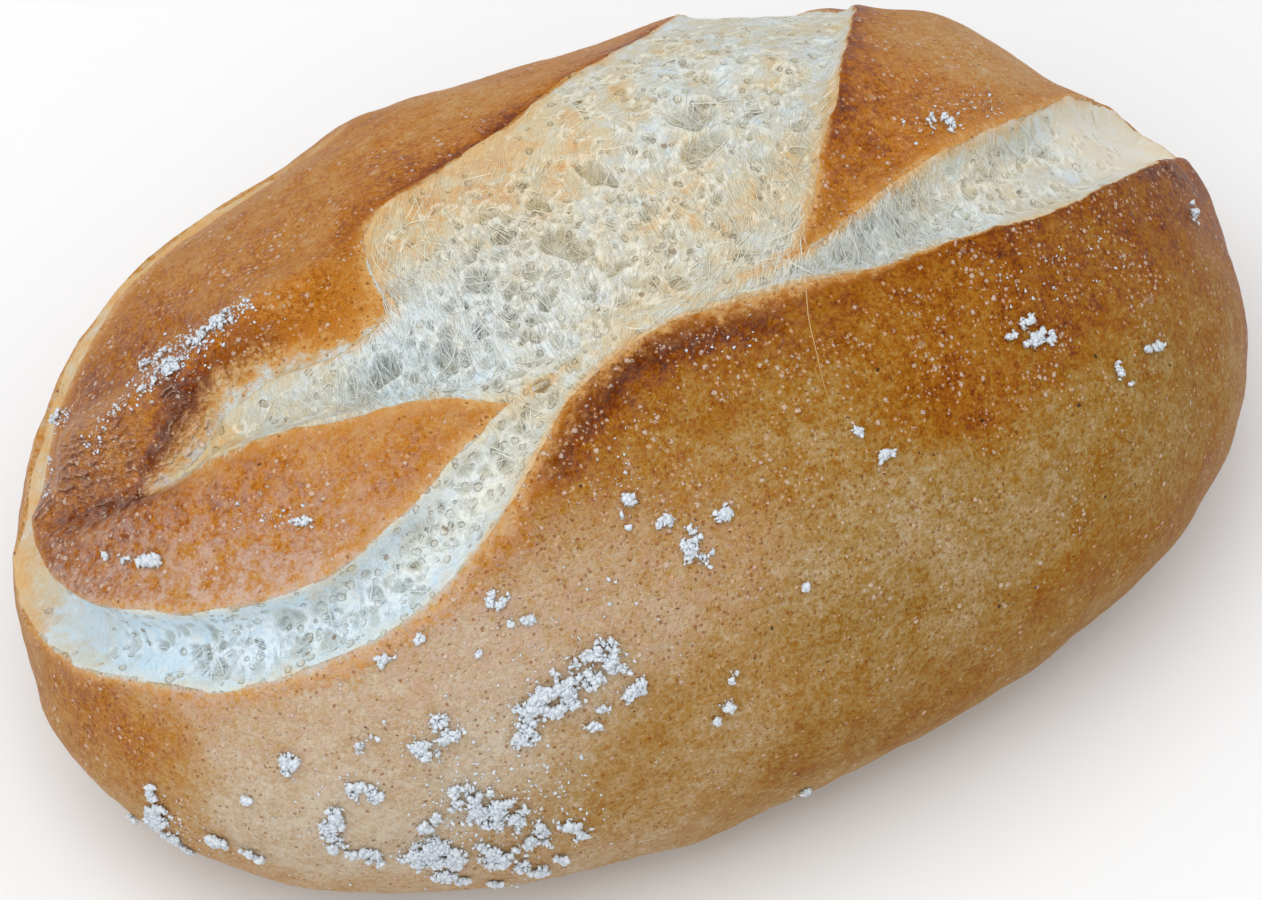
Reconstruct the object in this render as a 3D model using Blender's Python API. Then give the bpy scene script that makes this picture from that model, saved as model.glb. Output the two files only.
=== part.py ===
# A baguette roll: an oval wheat roll, slashed twice, whose crust has torn open over the crumb.
# Metres, +Z up. The roll stands on its flat base with its length along X. The nose, where the
# long slash runs round under the lid, is at -X, and the broad front flank faces -Y.
#
# The whole roll is one surface, described by a map of the crust: a place on the map is (a, b),
# its middle (0, 0) is the crown, and a ring of radius 1 round it is the belly, the widest line.
# a runs towards +X and b towards +Y. The slashes are drawn on this map, so they keep their
# place when the roll is made longer, wider or taller.

from math import pi

import bmesh
import bpy
import numpy as np
from mathutils import Vector, noise

# Driving sizes of the whole roll.
LENGTH = 0.130
WIDTH = 0.084
HEIGHT = 0.0535
BELLY_HEIGHT = 0.018

# How square the plan is, how full the crown is, and how the underside tucks in.
PLAN_POWER = 2.3
CROWN_SPREAD = 0.92
CROWN_RISE = 1.10
BASE_SPREAD = 0.45
BASE_DROP = 1.18

# Front edge of the long slash: up the back, round the nose, along the front, to the far end.
FRONT_RIM = [
    (-0.30, 0.63), (-0.52, 0.60), (-0.70, 0.47), (-0.82, 0.31), (-0.885, 0.13), (-0.86, 0.0),
    (-0.77, -0.15), (-0.62, -0.305), (-0.52, -0.355), (-0.41, -0.375), (-0.33, -0.365),
    (-0.26, -0.33), (-0.20, -0.28), (-0.155, -0.23), (-0.11, -0.18), (-0.06, -0.15),
    (0.01, -0.14), (0.108, -0.145), (0.18, -0.162), (0.29, -0.16), (0.39, -0.155),
    (0.49, -0.127), (0.62, -0.072), (0.77, 0.0), (0.88, 0.06),
]
# Its upper edge along the right wedge, from the far end to the wedge's tip.
RIGHT_WEDGE_FRONT = [
    (0.86, 0.14), (0.70, 0.135), (0.55, 0.09), (0.40, 0.016), (0.30, -0.02), (0.205, -0.06),
    (0.119, -0.095),
]
# Its upper edge under the lid, from the left wedge's tip, round the nose and up the back.
LID_EDGE = [
    (-0.158, -0.145), (-0.226, -0.184), (-0.295, -0.229), (-0.386, -0.256), (-0.458, -0.243),
    (-0.56, -0.195), (-0.667, -0.094), (-0.725, 0.02), (-0.738, 0.14), (-0.72, 0.24),
    (-0.66, 0.31), (-0.56, 0.36), (-0.45, 0.45), (-0.30, 0.51), (-0.18, 0.56),
]
# The cross slash: the left wedge's upper edge, from its tip to the fold beside the nose.
LEFT_WEDGE_BACK = [
    (-0.158, -0.145), (-0.209, -0.106), (-0.297, -0.074), (-0.407, -0.029), (-0.50, 0.010),
    (-0.54, 0.026),
]
# The back flank's edge, from the fold to the far side of the crown and down the back.
BACK_EDGE = [
    (-0.49, 0.030), (-0.42, 0.050), (-0.35, 0.058), (-0.28, 0.034), (-0.222, 0.056),
    (-0.214, 0.12), (-0.20, 0.185), (-0.136, 0.227), (-0.06, 0.27), (0.02, 0.335),
    (0.10, 0.40), (0.18, 0.51), (0.27, 0.65), (0.33, 0.76),
]
# The right wedge's left edge, from the back up over the crown to its tip.
RIGHT_WEDGE_BACK = [
    (0.39, 0.66), (0.405, 0.52), (0.375, 0.39), (0.325, 0.29), (0.26, 0.17), (0.209, 0.066),
    (0.165, -0.02), (0.119, -0.095),
]

# How high the crust's lip stands beside the tear, at places on the map, how far back over the
# crust it reaches, how quickly it curls down on the tear's side, and how near to the edge a
# corner of the mesh is moved onto it.
LIP_HEIGHTS = [
    (-0.12, -0.21, 0.0018), (0.00, -0.18, 0.0009), (0.108, -0.17, 0.0014), (0.30, -0.19, 0.0006),
    (0.60, -0.10, 0.0014), (0.86, 0.05, 0.0008), (-0.40, -0.41, 0.0003), (-0.64, -0.33, 0.0003),
    (-0.86, 0.03, 0.0008), (-0.60, 0.60, 0.0002), (-0.40, -0.22, 0.0016), (-0.62, -0.10, 0.0018),
    (-0.72, 0.08, 0.0022), (-0.66, 0.28, 0.0016), (-0.35, 0.47, 0.0010), (-0.20, -0.13, 0.0010),
    (-0.36, -0.03, 0.0012), (-0.10, 0.26, 0.0006), (-0.26, 0.09, 0.0002), (-0.23, 0.16, 0.0003),
    (0.10, 0.44, 0.0008), (0.25, 0.10, 0.0020), (0.35, 0.28, 0.0018), (0.18, -0.04, 0.0012),
    (0.42, 0.06, 0.0012), (0.62, 0.15, 0.0012), (0.42, 0.55, 0.0010),
]
LIP_REACH = 0.0042
LIP_CURL = 0.0009
SNAP = 0.00045

# How far the crumb lies below (-) or above (+) the unslashed roll, at places on the map, and
# within what distance of the edge it comes down to that level. Values given at places on the
# map are blended between them over PLACE_REACH, which is a distance on the map.
CRUMB_LEVELS = [
    (-0.40, 0.57, -0.0024), (-0.66, 0.42, -0.0024), (-0.80, 0.18, -0.0028),
    (-0.78, -0.04, -0.0028), (-0.60, -0.25, -0.0024), (-0.42, -0.31, -0.0022),
    (-0.28, -0.29, -0.0020), (-0.18, -0.20, -0.0016), (-0.05, -0.09, -0.0010),
    (0.06, -0.11, -0.0012), (0.14, -0.12, -0.0020), (0.30, -0.09, -0.0026),
    (0.45, -0.05, -0.0030), (0.62, 0.02, -0.0028), (0.80, 0.08, -0.0022),
    (-0.51, 0.022, -0.0030), (-0.42, 0.00, -0.0030), (-0.40, 0.04, -0.0012),
    (-0.30, -0.05, -0.0028), (-0.30, 0.03, -0.0006), (-0.20, -0.08, -0.0018),
    (-0.18, 0.04, -0.0004), (-0.18, 0.14, 0.0000), (-0.05, 0.10, -0.0010), (0.06, 0.02, -0.0012),
    (0.12, 0.14, -0.0008), (0.05, 0.24, 0.0004), (0.20, 0.28, 0.0006), (0.22, 0.42, 0.0004),
    (0.30, 0.58, -0.0008), (0.34, 0.72, -0.0016),
]
CRUMB_DROP = 0.0018
PLACE_REACH = 0.07

# Folds of the crust: places along the crest, height (a crease is negative) and half width.
FOLDS = [
    ([(-0.64, 0.24), (-0.55, 0.215), (-0.47, 0.185), (-0.40, 0.145), (-0.32, 0.10)], 0.0020, 0.0030),
    ([(-0.69, 0.12), (-0.62, 0.062), (-0.56, 0.030), (-0.50, 0.005)], -0.0013, 0.0014),
    ([(-0.66, 0.17), (-0.60, 0.115), (-0.55, 0.085)], -0.0007, 0.0012),
]

# Broad swellings of the whole roll: place, reach along the surface, and height.
SWELLINGS = [
    (0.69, 0.30, 0.017, -0.0034),
    (0.47, 0.32, 0.009, 0.0018),
    (0.82, -0.02, 0.008, 0.0009),
    (0.34, 0.46, 0.014, -0.0025),
    (0.08, 0.60, 0.012, -0.0014),
    (-0.14, 0.68, 0.012, 0.0012),
    (-0.28, 0.62, 0.010, -0.0013),
    (-0.81, 0.31, 0.013, -0.0022),
    (0.38, -1.15, 0.022, -0.0013),
]

# Unevenness: lumps of the crust, and torn crags of the crumb, which fade out at its edge.
CRUST_LUMP_SIZE = 0.016
CRUST_LUMP_HEIGHT = 0.0007
CRAG_SIZE = 0.0046
CRAG_HEIGHT = 0.0011
CRAG_FADE = 0.0022

# Fineness: steps along an edge between two of its places, cuts of the starting ball, and the
# share of its triangles that is kept.
EDGE_STEPS = 8
BALL_CUTS = 7
KEPT_SHARE = 0.138

# Length, width and depth of the block that cuts the base flat.
FLOOR_BLOCK = (0.20, 0.14, 0.02)

CRUST_COLOUR = (0.46, 0.23, 0.075, 1.0)
CRUST_ROUGHNESS = 0.62


def roll_surface(a, b):
    """Point of the unslashed roll at map place (a, b), as an array of x, y, z."""
    ring = np.hypot(a, b)
    polar = ring * pi / 2
    turn = np.arctan2(b, a)
    across, along = np.abs(np.sin(turn)), np.abs(np.cos(turn))
    reach = (along ** PLAN_POWER + across ** PLAN_POWER) ** (-1 / PLAN_POWER)
    rise = np.abs(np.cos(polar))
    above = ring < 1
    spread = np.where(above, CROWN_SPREAD, BASE_SPREAD)
    radius = reach * np.abs(np.sin(polar)) ** spread
    x = LENGTH / 2 * radius * np.cos(turn)
    y = WIDTH / 2 * radius * np.sin(turn)
    crown = BELLY_HEIGHT + (HEIGHT - BELLY_HEIGHT) * rise ** CROWN_RISE
    underside = BELLY_HEIGHT * (1 - BASE_DROP * rise)
    return np.stack([x, y, np.where(above, crown, underside)], axis=-1)


def smooth_line(places):
    """A Catmull-Rom line through the places, as an array of map places."""
    knots = np.array(places)
    knots = np.vstack([2 * knots[0] - knots[1], knots, 2 * knots[-1] - knots[-2]])
    t = np.arange(EDGE_STEPS)[:, None] / EDGE_STEPS
    pieces = []
    for p, q, r, s in zip(knots, knots[1:], knots[2:], knots[3:]):
        bend = 2 * q + (r - p) * t + (2 * p - 5 * q + 4 * r - s) * t ** 2
        pieces.append((bend + (3 * q - p - 3 * r + s) * t ** 3) / 2)
    return np.vstack(pieces + [knots[-2:-1]])


def step_to_line(points, line):
    """The shortest step in space from each point to a line of map places, and its length."""
    corners = roll_surface(line[:, 0], line[:, 1])
    step = np.zeros_like(points)
    length = np.full(len(points), np.inf)
    for start, end in zip(corners[:-1], corners[1:]):
        run = end - start
        if not run.any():
            continue
        share = np.clip((points - start) @ run / (run @ run), 0, 1)
        here = start + share[:, None] * run - points
        here_length = np.linalg.norm(here, axis=1)
        closer = here_length < length
        step[closer] = here[closer]
        length[closer] = here_length[closer]
    return step, length


def inside_outline(a, b, outline):
    """True where a map place lies inside a closed outline."""
    inside = np.zeros(len(a), bool)
    for (a0, b0), (a1, b1) in zip(outline, np.roll(outline, -1, axis=0)):
        crosses = (b0 > b) != (b1 > b)
        rise = np.where(crosses, b1 - b0, 1.0)
        inside ^= crosses & (a < a0 + (b - b0) * (a1 - a0) / rise)
    return inside


def tear(a, b, points):
    """Each point's distance past the crust's edge into the tear, negative on the crust.

    A point within SNAP of the edge is moved onto it, so that the edge comes out clean.
    """
    slashes = ((FRONT_RIM, RIGHT_WEDGE_FRONT, LID_EDGE),
               (LEFT_WEDGE_BACK, BACK_EDGE, RIGHT_WEDGE_BACK))
    depth = np.full(len(a), -np.inf)
    step = np.zeros_like(points)
    for edges in slashes:
        outline = np.vstack([smooth_line(edge) for edge in edges])
        to_edge, away = step_to_line(points, np.vstack([outline, outline[:1]]))
        here = np.where(inside_outline(a, b, outline), away, -away)
        deeper = here > depth
        depth[deeper] = here[deeper]
        step[deeper] = to_edge[deeper]
    on_edge = np.abs(depth) < SNAP
    depth[on_edge] = 0
    points = points + np.where(on_edge[:, None], step, 0)
    return depth, points


def blend_places(a, b, places):
    """Value at each map place, blended from the values given at a few places."""
    total = np.zeros(len(a))
    weights = np.full(len(a), 1e-12)
    for place_a, place_b, value in places:
        weight = np.exp(-((a - place_a) ** 2 + (b - place_b) ** 2) / PLACE_REACH ** 2)
        total += weight * value
        weights += weight
    return total / weights


def fractal(points, size, octaves):
    """Smooth seeded noise of about -1 to 1 at each point."""
    return np.array([noise.fractal(Vector(p / size), 0.6, 2.0, octaves) for p in points])


def relief(a, b, points, depth):
    """Height of the crust's lips, folds and torn crumb over the unslashed roll."""
    on_crumb = depth > 0

    lip = blend_places(a, b, LIP_HEIGHTS)
    level = blend_places(a, b, CRUMB_LEVELS)
    beside = np.abs(depth)
    height = lip * np.exp(-beside / np.where(on_crumb, LIP_CURL, LIP_REACH))
    height += np.where(on_crumb, level * (1 - np.exp(-((beside / CRUMB_DROP) ** 2))), 0)

    crags = CRAG_HEIGHT * fractal(points, CRAG_SIZE, 3)
    height += np.where(on_crumb, crags * (1 - np.exp(-beside / CRAG_FADE)), 0)
    height += CRUST_LUMP_HEIGHT * fractal(points, CRUST_LUMP_SIZE, 2)

    for places, fold_height, half_width in FOLDS:
        away = step_to_line(points, smooth_line(places))[1]
        height += fold_height * np.exp(-((away / half_width) ** 2))
    for place_a, place_b, reach, swelling in SWELLINGS:
        centre = roll_surface(np.array([place_a]), np.array([place_b]))
        away = np.linalg.norm(points - centre, axis=1)
        height += swelling * np.exp(-((away / reach) ** 2))
    return height


def new_collection(name):
    collection = bpy.data.collections.new(name)
    bpy.context.scene.collection.children.link(collection)
    return collection


def crust_material():
    material = bpy.data.materials.new("crust")
    material.use_nodes = True
    surface = material.node_tree.nodes["Principled BSDF"]
    surface.inputs["Base Color"].default_value = CRUST_COLOUR
    surface.inputs["Roughness"].default_value = CRUST_ROUGHNESS
    surface.inputs["Metallic"].default_value = 0.0
    return material


def make_roll(collection):
    """The whole roll: a fine ball laid over the roll's form, with its relief raised on it."""
    ball = bmesh.new()
    bmesh.ops.create_icosphere(ball, subdivisions=BALL_CUTS, radius=1)
    mesh = bpy.data.meshes.new("roll")
    ball.to_mesh(mesh)
    ball.free()

    count = len(mesh.vertices)
    directions = np.empty(count * 3)
    mesh.vertices.foreach_get("co", directions)
    directions = directions.reshape(-1, 3)
    ring = np.arccos(np.clip(directions[:, 2], -1, 1)) / (pi / 2)
    turn = np.arctan2(directions[:, 1], directions[:, 0])
    a, b = ring * np.cos(turn), ring * np.sin(turn)

    points = roll_surface(a, b)
    mesh.vertices.foreach_set("co", points.ravel())
    mesh.update()
    normals = np.empty(count * 3, np.float32)
    mesh.vertices.foreach_get("normal", normals)
    depth, points = tear(a, b, points)
    points = points + relief(a, b, points, depth)[:, None] * normals.reshape(-1, 3)
    mesh.vertices.foreach_set("co", points.ravel())
    mesh.shade_smooth()
    mesh.materials.append(crust_material())

    roll = bpy.data.objects.new("roll", mesh)
    collection.objects.link(roll)
    return roll


def make_floor_block(collection):
    """Block below z = 0 that cuts the roll's base flat."""
    length, width, depth = FLOOR_BLOCK
    block = bmesh.new()
    bmesh.ops.create_cube(block, size=1)
    bmesh.ops.scale(block, vec=(length, width, depth), verts=block.verts)
    mesh = bpy.data.meshes.new("floor_block")
    block.to_mesh(mesh)
    block.free()
    cutter = bpy.data.objects.new("floor_block", mesh)
    cutter.location.z = -depth / 2
    cutter.hide_render = True
    cutter.display_type = "WIRE"
    collection.objects.link(cutter)
    return cutter


def main():
    for old in list(bpy.data.objects):
        bpy.data.objects.remove(old, do_unlink=True)
    roll = make_roll(new_collection("baguette_roll"))
    floor_block = make_floor_block(new_collection("cutters"))

    thin_out = roll.modifiers.new("thin_out", "DECIMATE")
    thin_out.ratio = KEPT_SHARE
    flat_base = roll.modifiers.new("flat_base", "BOOLEAN")
    flat_base.operation = "DIFFERENCE"
    flat_base.object = floor_block


main()
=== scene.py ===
# The looks of the baguette roll: browned crust, torn crumb, gluten threads, flour and bran,
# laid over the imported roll. Nose at -X, broad front flank towards -Y. Lengths are in metres where
# nothing else is said.
from itertools import product
from math import cos, pi, radians, sin

import bmesh
import bpy
import numpy as np
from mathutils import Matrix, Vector, noise
from mathutils.bvhtree import BVHTree


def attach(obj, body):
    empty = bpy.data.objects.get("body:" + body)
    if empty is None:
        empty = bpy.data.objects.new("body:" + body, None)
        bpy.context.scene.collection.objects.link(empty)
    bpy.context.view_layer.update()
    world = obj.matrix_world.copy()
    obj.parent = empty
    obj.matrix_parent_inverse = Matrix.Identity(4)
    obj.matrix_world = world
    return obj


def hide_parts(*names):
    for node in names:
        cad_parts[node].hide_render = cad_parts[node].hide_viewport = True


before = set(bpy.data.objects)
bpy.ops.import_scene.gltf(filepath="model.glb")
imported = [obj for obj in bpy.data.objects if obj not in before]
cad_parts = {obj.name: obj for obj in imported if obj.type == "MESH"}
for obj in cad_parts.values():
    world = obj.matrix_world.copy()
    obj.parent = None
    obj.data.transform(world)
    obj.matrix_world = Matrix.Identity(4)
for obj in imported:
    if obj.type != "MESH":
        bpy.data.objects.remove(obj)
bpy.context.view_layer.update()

mm = 0.001

# The form of the unslashed roll. A place on it is (a, b) on a map of the crust: (0, 0) is the
# crown, a ring of radius 1 round it is the belly, and a runs towards +X, b towards +Y.
form = {
    "length": 0.130,
    "width": 0.084,
    "height": 0.0535,
    "bellyHeight": 0.018,
    "planPower": 2.3,
    "crownSpread": 0.92,
    "crownRise": 1.10,
    "baseSpread": 0.45,
    "baseDrop": 1.18,
    "lumpSize": 0.016,
    "lumpHeight": 0.0007,
    # broad swellings and hollows: place, reach and height in mm
    "swellings": [
        (0.69, 0.3, 17, -3.4), (0.47, 0.32, 9, 1.8), (0.82, -0.02, 8, 0.9), (0.34, 0.46, 14, -2.5),
        (0.08, 0.6, 12, -1.4), (-0.14, 0.68, 12, 1.2), (-0.28, 0.62, 10, -1.3),
        (-0.81, 0.31, 13, -2.2), (0.38, -1.15, 22, -1.3),
    ],
}

# Where the crust has torn open, as the edges of the two slashes.
slashes = {
    "frontRim": [
        (-0.3, 0.63), (-0.52, 0.6), (-0.7, 0.47), (-0.82, 0.31), (-0.885, 0.13), (-0.86, 0),
        (-0.77, -0.15), (-0.62, -0.305), (-0.52, -0.355), (-0.41, -0.375), (-0.33, -0.365),
        (-0.26, -0.33), (-0.2, -0.28), (-0.155, -0.23), (-0.11, -0.18), (-0.06, -0.15),
        (0.01, -0.14), (0.108, -0.145), (0.18, -0.162), (0.29, -0.16), (0.39, -0.155),
        (0.49, -0.127), (0.62, -0.072), (0.77, 0), (0.88, 0.06),
    ],
    "rightWedgeFront": [
        (0.9, 0.21), (0.74, 0.205), (0.56, 0.105), (0.4, 0.016), (0.3, -0.02), (0.205, -0.06),
        (0.119, -0.095),
    ],
    "lidEdge": [
        (-0.158, -0.145), (-0.226, -0.184), (-0.295, -0.229), (-0.386, -0.256), (-0.458, -0.243),
        (-0.56, -0.195), (-0.667, -0.094), (-0.725, 0.02), (-0.738, 0.14), (-0.72, 0.24),
        (-0.66, 0.31), (-0.56, 0.36), (-0.45, 0.45), (-0.3, 0.51), (-0.18, 0.56),
    ],
    "leftWedgeBack": [
        (-0.158, -0.145), (-0.209, -0.106), (-0.297, -0.074), (-0.407, -0.029), (-0.5, 0.01),
        (-0.54, 0.026),
    ],
    "backEdge": [
        (-0.49, 0.03), (-0.42, 0.05), (-0.35, 0.058), (-0.28, 0.034), (-0.222, 0.056),
        (-0.214, 0.12), (-0.2, 0.185), (-0.136, 0.227), (-0.06, 0.27), (0.02, 0.335), (0.1, 0.4),
        (0.18, 0.51), (0.28, 0.69), (0.38, 0.9), (0.435, 0.975),
    ],
    "rightWedgeBack": [
        (0.46, 0.84), (0.42, 0.64), (0.405, 0.52), (0.375, 0.39), (0.325, 0.29), (0.26, 0.17),
        (0.209, 0.066), (0.165, -0.02), (0.119, -0.095),
    ],
    "edgeSteps": 8,
    "placeReach": 0.07,
    # height of the crust's lip at places along the tear, in mm
    "lips": [
        (-0.12, -0.21, 1.8), (0, -0.18, 0.9), (0.108, -0.17, 1.4), (0.3, -0.19, 0.6),
        (0.6, -0.1, 1.4), (0.86, 0.05, 0.8), (-0.4, -0.41, 0.3), (-0.64, -0.33, 0.3),
        (-0.86, 0.03, 0.8), (-0.6, 0.6, 0.2), (-0.4, -0.22, 1.6), (-0.62, -0.1, 1.8),
        (-0.72, 0.08, 1.6), (-0.66, 0.28, 0.6), (-0.35, 0.47, 0.4), (-0.2, -0.13, 0.5),
        (-0.36, -0.03, 0.8), (-0.1, 0.26, 0.6), (-0.26, 0.09, 0.2), (-0.23, 0.16, 0.3),
        (0.1, 0.44, 0.8), (0.25, 0.1, 2), (0.35, 0.28, 1.8), (0.18, -0.04, 0.7), (0.42, 0.06, 1.2),
        (0.62, 0.15, 1.2), (0.42, 0.55, 1), (-0.42, 0.06, -0.4), (-0.35, 0.08, -0.6),
        (-0.28, 0.06, -0.6), (-0.22, 0.07, -0.2), (-0.16, -0.145, -1.6), (0.12, -0.09, -1.4),
    ],
    # how the crust rounds over its edge, and where past the edge it ends
    "crestRound": 0.0008,
    "lipReach": 0.0042,
    "lipCurl": 0.0015,
    "crumbDrop": 0.0018,
    "overEdge": 0.0004,
    # at places along the tear, in mm: width of the cream and of the gold on the crust, of the
    # cream and of the toast on the crumb; then how dark the crust is behind; then the step, in mm
    "edges": [
        (-0.885, 0.13, 0, 2, 0.8, 3, 0.5, 0), (-0.77, -0.15, 0.3, 1.2, 1.8, 0, 0.62, 0),
        (-0.62, -0.305, 0.5, 1.4, 1.6, 0, 0.46, 0), (-0.45, -0.39, 0.6, 1.8, 2, 0, 0.36, 0),
        (-0.33, -0.37, 0.6, 1.8, 2, 0, 0.4, 0), (-0.24, -0.31, 0.2, 3, 1, 0.6, 0.66, 0),
        (-0.15, -0.22, 0.1, 2.6, 1, 0.7, 0.98, 0), (-0.06, -0.15, 0.1, 1.8, 1, 0.7, 1.06, 0),
        (0.02, -0.14, 0.2, 2.2, 1, 0.7, 1, 0), (0.08, -0.15, 0.6, 3.4, 1, 0.6, 0.72, 0),
        (0.13, -0.15, 0, 0.2, 0.6, 0.2, 0.86, 0.2), (0.29, -0.16, 0, 0.2, 1, 0.3, 0.84, 0.15),
        (0.49, -0.13, 0, 0.2, 1, 0.3, 0.86, 0.15), (0.77, 0, 0, 0.2, 1.5, 0.4, 0.82, 0.15),
        (-0.21, -0.175, 0.3, 1.8, 1.5, 0, 0.52, 0), (-0.39, -0.25, 0.4, 1.8, 1, 0, 0.58, 0),
        (-0.48, -0.23, 0.4, 2, 1, 0, 0.52, 0), (-0.6, -0.16, 0.3, 1.6, 0.8, 0, 0.6, 0),
        (-0.7, -0.04, 0.1, 0.6, 1, 0.3, 0.84, 0.5), (-0.738, 0.14, 0, 0.8, 0.4, 4, 0.8, 0.4),
        (-0.66, 0.31, 0, 2.4, 0.3, 9, 0.64, 0.2), (-0.45, 0.45, 0, 3, 0.3, 9, 0.58, 0.1),
        (-0.209, -0.1, 0.3, 1.6, 1.2, 0.1, 0.54, 0), (-0.32, -0.065, 0.1, 1.8, 0.3, 0, 0.58, 0),
        (-0.44, -0.015, 0.1, 1.8, 0.3, 0, 0.56, 0), (-0.49, 0.035, 1.2, 1, 0.1, 0, 0.84, 0),
        (-0.42, 0.06, 2.2, 1.2, 0.1, 0, 0.88, 0), (-0.35, 0.075, 2.4, 2.6, 0.2, 0, 0.72, 0),
        (-0.28, 0.05, 1.6, 4, 0.6, 0.6, 0.64, 0), (-0.22, 0.06, 0.2, 3.8, 1, 2, 0.6, 0),
        (-0.21, 0.13, 0, 2.6, 2, 3, 0.64, 0), (-0.19, 0.19, 0, 0.8, 3, 2.2, 0.8, 0),
        (-0.1, 0.25, 0, 0.2, 4, 1.6, 0.9, 0.1), (0.06, 0.37, 0, 0.2, 4, 1.4, 0.84, 0.1),
        (0.27, 0.65, 0, 0.2, 2, 0.8, 0.74, 0.1), (0.39, 0.52, 0, 0.2, 1.5, 0.5, 0.84, 0.15),
        (0.3, 0.25, 0, 0.2, 2, 0.8, 0.86, 0.2), (0.21, 0.06, 0, 0.4, 2, 1, 0.86, 0.1),
        (0.13, -0.07, 0.2, 1.8, 2, 0.8, 0.66, 0), (0.22, -0.05, 0.1, 1.8, 2, 1, 0.6, 0),
        (0.36, 0, 0.1, 1.8, 2.5, 1, 0.56, 0), (0.55, 0.09, 0, 1.4, 2.5, 1, 0.64, 0.05),
        (0.78, 0.14, 0, 0.4, 1.5, 0.4, 0.66, 0.1),
    ],
}


def rollPoint(a, b):
    ring = np.hypot(a, b)
    polar = ring * pi / 2
    turn = np.arctan2(b, a)
    power = form["planPower"]
    reach = (np.abs(np.cos(turn)) ** power + np.abs(np.sin(turn)) ** power) ** (-1 / power)
    rise = np.abs(np.cos(polar))
    above = ring < 1
    spread = np.where(above, form["crownSpread"], form["baseSpread"])
    radius = reach * np.abs(np.sin(polar)) ** spread
    belly = form["bellyHeight"]
    crown = belly + (form["height"] - belly) * rise ** form["crownRise"]
    underside = belly * (1 - form["baseDrop"] * rise)
    return np.stack([
        form["length"] / 2 * radius * np.cos(turn),
        form["width"] / 2 * radius * np.sin(turn),
        np.where(above, crown, underside),
    ], axis=-1)


def rollNormal(a, b):
    step = 1e-3
    alongA = rollPoint(a + step, b) - rollPoint(a - step, b)
    alongB = rollPoint(a, b + step) - rollPoint(a, b - step)
    normal = np.cross(alongA, alongB)
    normal /= np.maximum(np.linalg.norm(normal, axis=1, keepdims=True), 1e-15)
    normal[np.hypot(a, b) > 1.9] = (0, 0, -1)
    return normal


def smoothLine(places):
    knots = np.array(places)
    knots = np.vstack([2 * knots[0] - knots[1], knots, 2 * knots[-1] - knots[-2]])
    t = np.arange(slashes["edgeSteps"])[:, None] / slashes["edgeSteps"]
    pieces = []
    for p, q, r, s in zip(knots, knots[1:], knots[2:], knots[3:]):
        bend = 2 * q + (r - p) * t + (2 * p - 5 * q + 4 * r - s) * t ** 2
        pieces.append((bend + (3 * q - p - 3 * r + s) * t ** 3) / 2)
    return np.vstack(pieces + [knots[-2:-1]])


def stepToLine(points, line):
    # the shortest step from each point to a line of map places, its length, and the way that the
    # line runs there
    corners = rollPoint(line[:, 0], line[:, 1])
    step = np.zeros_like(points)
    way = np.zeros_like(points)
    length = np.full(len(points), np.inf)
    for start, end in zip(corners[:-1], corners[1:]):
        run = end - start
        runLength = np.linalg.norm(run)
        if runLength == 0:
            continue
        share = np.clip((points - start) @ run / runLength ** 2, 0, 1)
        here = start + share[:, None] * run - points
        hereLength = np.sqrt(np.einsum("ij,ij->i", here, here))
        closer = hereLength < length
        step[closer] = here[closer]
        way[closer] = run / runLength
        length[closer] = hereLength[closer]
    return step, length, way


def insideOutline(a, b, outline):
    inside = np.zeros(len(a), bool)
    for (a0, b0), (a1, b1) in zip(outline, np.roll(outline, -1, axis=0)):
        crosses = (b0 > b) != (b1 > b)
        rise = np.where(crosses, b1 - b0, 1.0)
        inside ^= crosses & (a < a0 + (b - b0) * (a1 - a0) / rise)
    return inside


def tearDepth(a, b, points):
    # distance past the crust's edge into the tear, less than 0 on the crust, with the step to
    # that edge and the direction over the crust into the tear
    depth = np.full(len(a), -np.inf)
    step = np.zeros_like(points)
    inward = np.zeros_like(points)
    normal = rollNormal(a, b)
    for names in (
        ("frontRim", "rightWedgeFront", "lidEdge"),
        ("leftWedgeBack", "backEdge", "rightWedgeBack"),
    ):
        outline = np.vstack([smoothLine(slashes[name]) for name in names])
        after = np.roll(outline, -1, axis=0)
        turnsLeft = np.sum(outline[:, 0] * after[:, 1] - outline[:, 1] * after[:, 0]) > 0
        toEdge, away, way = stepToLine(points, np.vstack([outline, outline[:1]]))
        here = np.where(insideOutline(a, b, outline), away, -away)
        deeper = here > depth
        depth[deeper] = here[deeper]
        step[deeper] = toEdge[deeper]
        inward[deeper] = (np.cross(normal, way) * (1 if turnsLeft else -1))[deeper]
    return depth, step, inward


def blendPlaces(a, b, places, reach=None, spill=0.0):
    # rows of values that are set at places of the map, blended between them; spill is how much
    # each place counts far outside its reach
    reach = reach or slashes["placeReach"]
    values = np.array(places)[:, 2:]
    total = np.zeros((values.shape[1], len(a)))
    weights = np.full(len(a), 1e-12)
    for (placeA, placeB, *_), row in zip(places, values):
        away = np.hypot(a - placeA, b - placeB) / reach
        weight = np.exp(-away ** 2) + spill * np.exp(-(away / 4) ** 2)
        total += weight * row[:, None]
        weights += weight
    return total / weights


def between(low, high, share):
    return low + (high - low) * share


def swell(x, low, high):
    # 0 below low, 1 above high, smooth between
    t = np.clip((x - low) / (high - low), 0, 1)
    return t * t * (3 - 2 * t)


def chance(cell, salt):
    # a fixed number from 0 to 1 for each whole-number cell
    mixed = (cell.astype(np.int64) * (73856093, 19349663, 83492791)).sum(axis=-1)
    mixed = (mixed + salt * 40503001) & 0xffffffff
    for shift, factor in ((15, 73244475), (16, 73244475), (14, 1)):
        mixed = ((mixed ^ (mixed >> shift)) * factor) & 0xffffffff
    return (mixed & 0xffffff) / 0x1000000


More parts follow.
